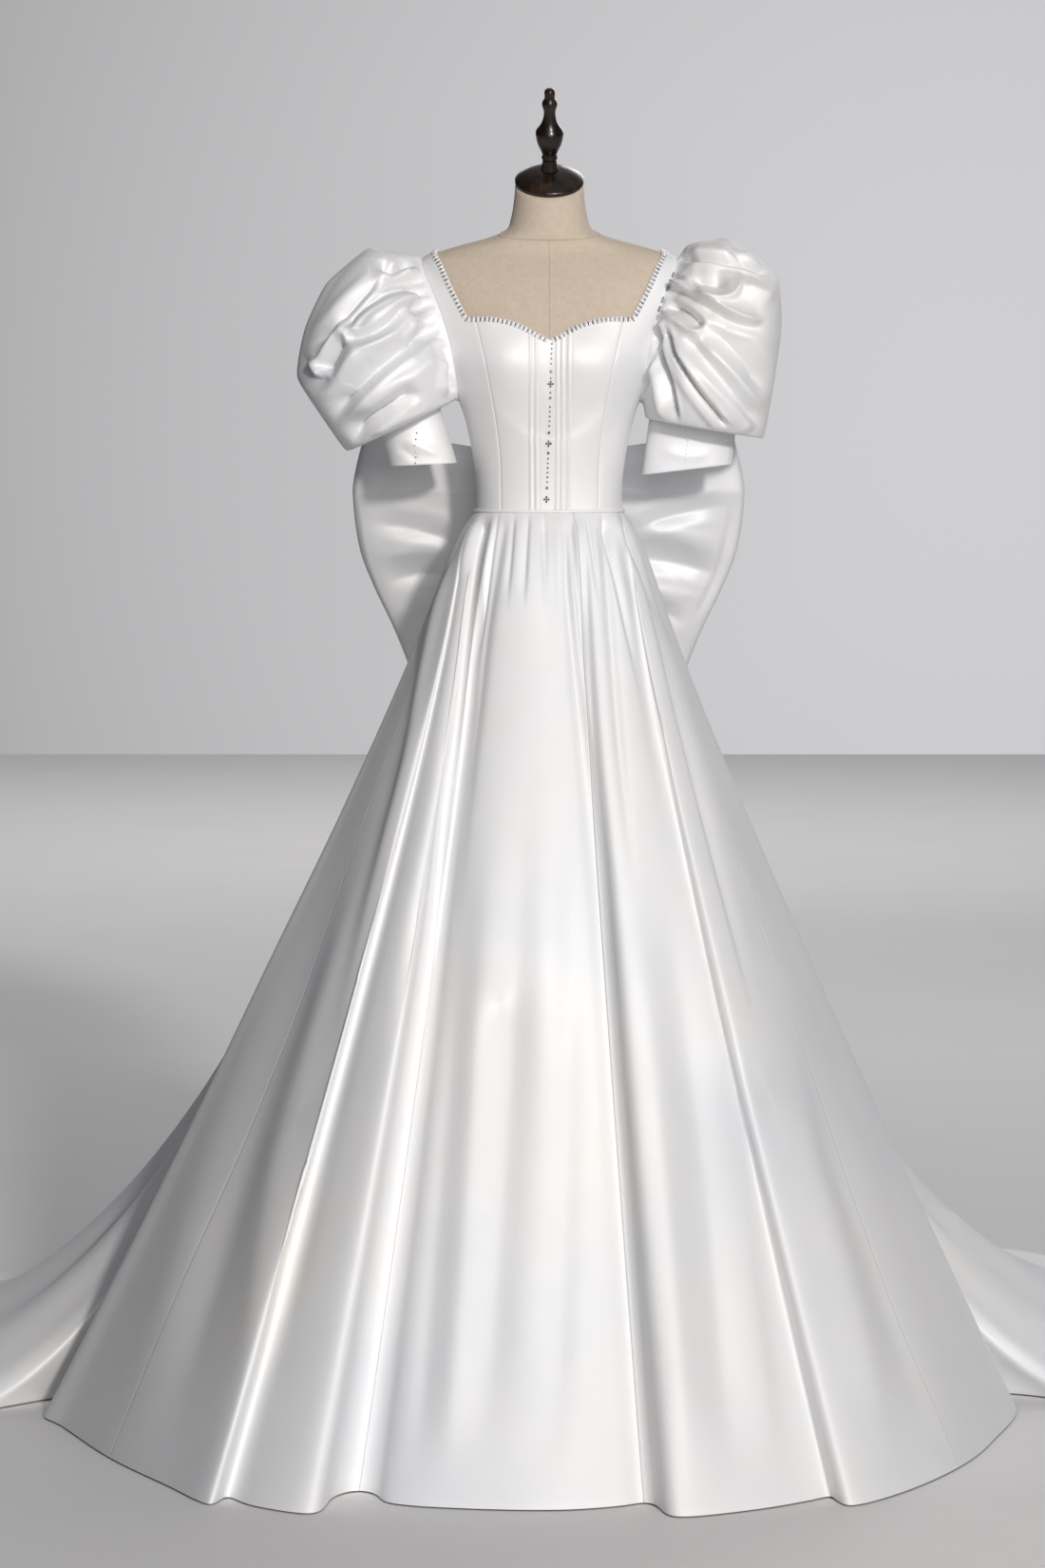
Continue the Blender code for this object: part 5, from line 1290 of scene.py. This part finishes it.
def build_seams():
    """Piping round the waist, and the linen's seams at the neck and down the front and back."""
    turns = np.arange(0.0, 360.0, 2.0)
    heights = np.full(turns.shape, WAIST_Z)
    tube_piece("waist_piping", body_point(turns, heights, EASE + CLOTH + PIPING_RISE),
               body_normal(turns, heights), PIPING_RADIUS, MATERIALS["satin"], "satin", closed=True)
    heights = NECK_SEAM_Z - NECK_SEAM_SLOPE * np.cos(np.radians(turns))
    tube_piece("neck_seam", body_point(turns, heights, 0.0), body_normal(turns, heights),
               NECK_SEAM_RADIUS, MATERIALS["linen_seam"], "linen", sides=6, closed=True)
    for name, turn, low, high in LINEN_SEAMS:
        heights = np.linspace(low, high, 60)
        turns = np.full(heights.shape, turn)
        tube_piece(name, body_point(turns, heights, 0.0), body_normal(turns, heights),
                   LINEN_SEAM_RADIUS, MATERIALS["linen_seam"], "linen", sides=6)


# Materials

class Nodes:
    """Short way to write a node material."""

    def __init__(self, name, roughness, metallic=0.0):
        self.material = bpy.data.materials.new(name)
        self.material.use_nodes = True
        self.tree = self.material.node_tree
        self.shader = self.tree.nodes["Principled BSDF"]
        self.shader.inputs["Roughness"].default_value = roughness
        self.shader.inputs["Metallic"].default_value = metallic

    def add(self, kind, **inputs):
        node = self.tree.nodes.new(kind)
        for key, value in inputs.items():
            socket = node.inputs[key.replace("_", " ")]
            if isinstance(value, bpy.types.NodeSocket):
                self.tree.links.new(value, socket)
            else:
                socket.default_value = value
        return node

    def place(self, source, scale):
        """Coordinates of a kind, scaled along each axis."""
        node = self.tree.nodes.new("ShaderNodeTexCoord")
        mapping = self.tree.nodes.new("ShaderNodeMapping")
        mapping.inputs["Scale"].default_value = scale
        self.tree.links.new(node.outputs[source], mapping.inputs["Vector"])
        return mapping.outputs["Vector"]

    def noise(self, vector, scale, detail=2.0, rough=0.5):
        node = self.add("ShaderNodeTexNoise", Vector=vector, Scale=scale, Detail=detail, Roughness=rough)
        return node.outputs["Fac"]

    def wave(self, vector, scale, direction, warp=0.0):
        node = self.add("ShaderNodeTexWave", Vector=vector, Scale=scale, Distortion=warp)
        node.bands_direction = direction
        return node.outputs["Fac"]

    def ramp(self, factor, *stops):
        node = self.add("ShaderNodeValToRGB", Fac=factor)
        elements = node.color_ramp.elements
        while len(elements) < len(stops):
            elements.new(0.5)
        for element, (place, colour) in zip(elements, stops):
            element.position = place
            element.color = tuple(colour) + (1.0,)
        return node.outputs["Color"]

    def spread(self, factor, low, high):
        node = self.add("ShaderNodeMapRange", Value=factor)
        node.inputs["To Min"].default_value = low
        node.inputs["To Max"].default_value = high
        return node.outputs["Result"]

    def bump(self, height, strength, distance, normal=None):
        node = self.add("ShaderNodeBump", Height=height, Strength=strength, Distance=distance)
        if normal is not None:
            self.tree.links.new(normal, node.inputs["Normal"])
        return node.outputs["Normal"]

    def end(self, colour=None, roughness=None, normal=None):
        for key, value in (("Base Color", colour), ("Roughness", roughness), ("Normal", normal)):
            if value is not None:
                self.tree.links.new(value, self.shader.inputs[key])
        return self.material


def make_satin():
    """Heavy white satin: long floats, a soft broad gloss and faint cool and cream parts."""
    nodes = Nodes("satin_weave", 0.56, 0.16)
    where = nodes.place("Object", (1, 1, 1))
    woven = nodes.place("UV", (1, 1, 1))
    tone = nodes.noise(where, 3.5, 3.0)
    colour = nodes.ramp(tone, (0.30, (0.76, 0.77, 0.80)), (0.52, (0.81, 0.81, 0.815)),
                        (0.75, (0.83, 0.82, 0.80)))
    roughness = nodes.spread(nodes.noise(where, 22.0, 3.0), 0.51, 0.62)
    floats = nodes.noise(nodes.place("UV", (1900, 210, 1)), 1.0, 2.0)
    threads = nodes.wave(woven, 900.0, "Y")
    crumple = nodes.noise(where, 11.0, 4.0, 0.55)
    normal = nodes.bump(crumple, 0.16, 0.005)
    normal = nodes.bump(floats, 0.25, 0.0002, normal)
    normal = nodes.bump(threads, 0.10, 0.0001, normal)
    shader = nodes.shader.inputs
    shader["Sheen Weight"].default_value = 0.12
    shader["Sheen Roughness"].default_value = 0.45
    shader["Specular IOR Level"].default_value = 0.50
    shader["Anisotropic"].default_value = 0.50
    return nodes.end(colour, roughness, normal)


def make_linen(name="linen_weave", shade=1.0):
    """Plain woven linen with slubs; a seam's is darker."""
    nodes = Nodes(name, 0.85)
    where = nodes.place("Object", (1, 1, 1))
    warp = nodes.wave(where, 260.0, "X", 1.5)
    weft = nodes.wave(where, 260.0, "Z", 1.5)
    slub = nodes.noise(nodes.place("Object", (30, 30, 500)), 1.0, 3.0)
    tone = nodes.noise(where, 110.0, 8.0, 0.85)
    weave = nodes.add("ShaderNodeMath", Value=warp)
    weave.operation = "MULTIPLY"
    nodes.tree.links.new(weft, weave.inputs[1])
    blended = nodes.add("ShaderNodeMath", Value=weave.outputs[0])
    blended.operation = "ADD"
    nodes.tree.links.new(slub, blended.inputs[1])
    colour = nodes.ramp(tone, *((stop, tuple(part * shade for part in tint)) for stop, tint in (
        (0.36, (0.54, 0.448, 0.352)), (0.52, (0.59, 0.492, 0.390)), (0.68, (0.63, 0.532, 0.428)))))
    normal = nodes.bump(nodes.noise(where, 18.0, 2.0), 0.15, 0.003)
    normal = nodes.bump(blended.outputs[0], 0.5, 0.0005, normal)
    roughness = nodes.spread(slub, 0.78, 0.92)
    nodes.shader.inputs["Sheen Weight"].default_value = 0.2
    return nodes.end(colour, roughness, normal)


def make_wood():
    """Espresso stained, polished wood with a faint grain."""
    nodes = Nodes("dark_wood_grain", 0.2)
    grain = nodes.noise(nodes.place("Object", (60, 60, 9)), 1.0, 6.0, 0.65)
    rings = nodes.wave(nodes.place("Object", (1, 1, 0.3)), 28.0, "X", 6.0)
    colour = nodes.ramp(grain, (0.35, (0.006, 0.004, 0.003)), (0.55, (0.018, 0.010, 0.006)),
                        (0.75, (0.050, 0.026, 0.013)))
    roughness = nodes.spread(nodes.noise(nodes.place("Object", (1, 1, 1)), 70.0, 3.0), 0.18, 0.34)
    normal = nodes.bump(rings, 0.10, 0.0006)
    normal = nodes.bump(grain, 0.15, 0.0003, normal)
    nodes.shader.inputs["Coat Weight"].default_value = 0.15
    nodes.shader.inputs["Coat Roughness"].default_value = 0.08
    nodes.shader.inputs["Specular IOR Level"].default_value = 0.4
    return nodes.end(colour, roughness, normal)


def make_metal():
    """Black powder-coated metal."""
    nodes = Nodes("black_metal_coat", 0.42, 0.6)
    where = nodes.place("Object", (1, 1, 1))
    speckle = nodes.noise(where, 900.0, 2.0)
    tone = nodes.noise(where, 14.0, 3.0)
    colour = nodes.ramp(tone, (0.3, (0.018, 0.018, 0.020)), (0.7, (0.042, 0.041, 0.042)))
    roughness = nodes.spread(nodes.noise(where, 40.0, 4.0), 0.34, 0.52)
    return nodes.end(colour, roughness, nodes.bump(speckle, 0.3, 0.0003))


def make_bead(name, colours, roughness, metallic):
    """Small bead with a clear coat, its colour a little different from bead to bead."""
    nodes = Nodes(name, roughness, metallic)
    where = nodes.place("Object", (1, 1, 1))
    colour = nodes.ramp(nodes.noise(where, 220.0, 1.0), (0.35, colours[0]), (0.65, colours[1]))
    nodes.shader.inputs["Coat Weight"].default_value = 0.7
    nodes.shader.inputs["Coat Roughness"].default_value = 0.05
    return nodes.end(colour, nodes.spread(nodes.noise(where, 500.0), roughness * 0.7, roughness * 1.4))


MATERIALS = {
    "satin": make_satin(),
    "pearl": make_bead("bead_pearl", ((0.78, 0.77, 0.76), (0.90, 0.89, 0.88)), 0.22, 0.0),
    "dark_crystal": make_bead("bead_dark", ((0.10, 0.10, 0.12), (0.36, 0.37, 0.40)), 0.14, 0.6),
    "linen": make_linen(),
    "dark_wood": make_wood(),
    "black_metal": make_metal(),
    "linen_seam": make_linen("linen_seam", 0.88),
}


# Stage

def build_floor():
    """Pale floor, which is not part of the object."""
    mesh = bpy.data.meshes.new("floor")
    mesh.from_pydata(FLOOR_CORNERS, [], [(0, 1, 2, 3)])
    nodes = Nodes("floor_paint", 0.55)
    where = nodes.place("Object", (1, 1, 1))
    tone = nodes.noise(where, 1.4, 3.0)
    colour = nodes.ramp(tone, (0.3, (0.715, 0.705, 0.695)), (0.7, (0.735, 0.725, 0.715)))
    nodes.shader.inputs["Specular IOR Level"].default_value = 0.2
    mesh.materials.append(nodes.end(colour, nodes.spread(nodes.noise(where, 6.0), 0.50, 0.60)))
    link_object("floor", mesh)


def build_world():
    """Soft light of uneven brightness from all round."""
    world = bpy.data.worlds.new("studio")
    world.use_nodes = True
    tree = world.node_tree
    where = tree.nodes.new("ShaderNodeTexCoord")
    parts = tree.nodes.new("ShaderNodeSeparateXYZ")
    tree.links.new(where.outputs["Generated"], parts.inputs["Vector"])
    levels = []
    for axis, *numbers in WORLD_LEVELS:
        level = tree.nodes.new("ShaderNodeMapRange")
        for name, value in zip(("From Min", "From Max", "To Min", "To Max"), numbers):
            level.inputs[name].default_value = value
        tree.links.new(parts.outputs[axis], level.inputs["Value"])
        levels.append(level.outputs["Result"])
    product = levels[0]
    for level in levels[1:-1]:
        both = tree.nodes.new("ShaderNodeMath")
        both.operation = "MULTIPLY"
        tree.links.new(product, both.inputs[0])
        tree.links.new(level, both.inputs[1])
        product = both.outputs["Value"]
    tint = tree.nodes.new("ShaderNodeMix")
    tint.data_type = "RGBA"
    tint.inputs["A"].default_value, tint.inputs["B"].default_value = WORLD_TINTS
    tree.links.new(levels[-1], tint.inputs["Factor"])
    background = tree.nodes["Background"]
    tree.links.new(product, background.inputs["Strength"])
    tree.links.new(tint.outputs["Result"], background.inputs["Color"])
    bpy.context.scene.world = world


def build_lamps():
    """Key light from the front right, with softer ones beside it, behind and over the far floor."""
    for name, kind, place, aim, size, power, colour in LAMPS:
        lamp = bpy.data.lights.new(name, kind)
        setattr(lamp, "angle" if kind == "SUN" else "size", size)
        lamp.energy = power
        lamp.color = colour
        item = link_object(name, lamp)
        item.location = place
        item.rotation_euler = (Vector(aim) - item.location).to_track_quat("-Z", "Y").to_euler()
        item.visible_camera = False


def build_camera():
    """The camera of the photograph's view."""
    camera = link_object("camera", bpy.data.cameras.new("camera"))
    camera.location = CAMERA_AT
    camera.rotation_euler = (CAMERA_TILT, 0.0, 0.0)
    camera.data.lens = CAMERA_LENS
    camera.data.clip_end = 60.0
    bpy.context.scene.camera = camera
    bpy.context.scene.view_settings.view_transform = "Standard"


def build_all():
    """Every piece, then the stage."""
    build_torso()
    build_head()
    for name in ("form_pole", "form_base"):
        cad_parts[name].material_slots[0].material = MATERIALS["black_metal"]
    cloth_piece("satin_bodice_front", front_points(), "bodice_front")
    build_side_panels()
    for side in SIDES:
        points, cuff = sleeve_points(side), cuff_points(side)
        if side == "right":
            points, cuff = points[:, ::-1], cuff[:, ::-1]
        cloth_piece("satin_sleeve_" + side, points, "sleeve_" + side, wraps=True)
        cloth_piece("satin_cuff_" + side, cuff, "cuff_" + side, wraps=True)
    build_skirt()
    build_bow()
    build_trim()
    build_seams()
    build_floor()
    build_world()
    build_lamps()
    build_camera()


build_all()
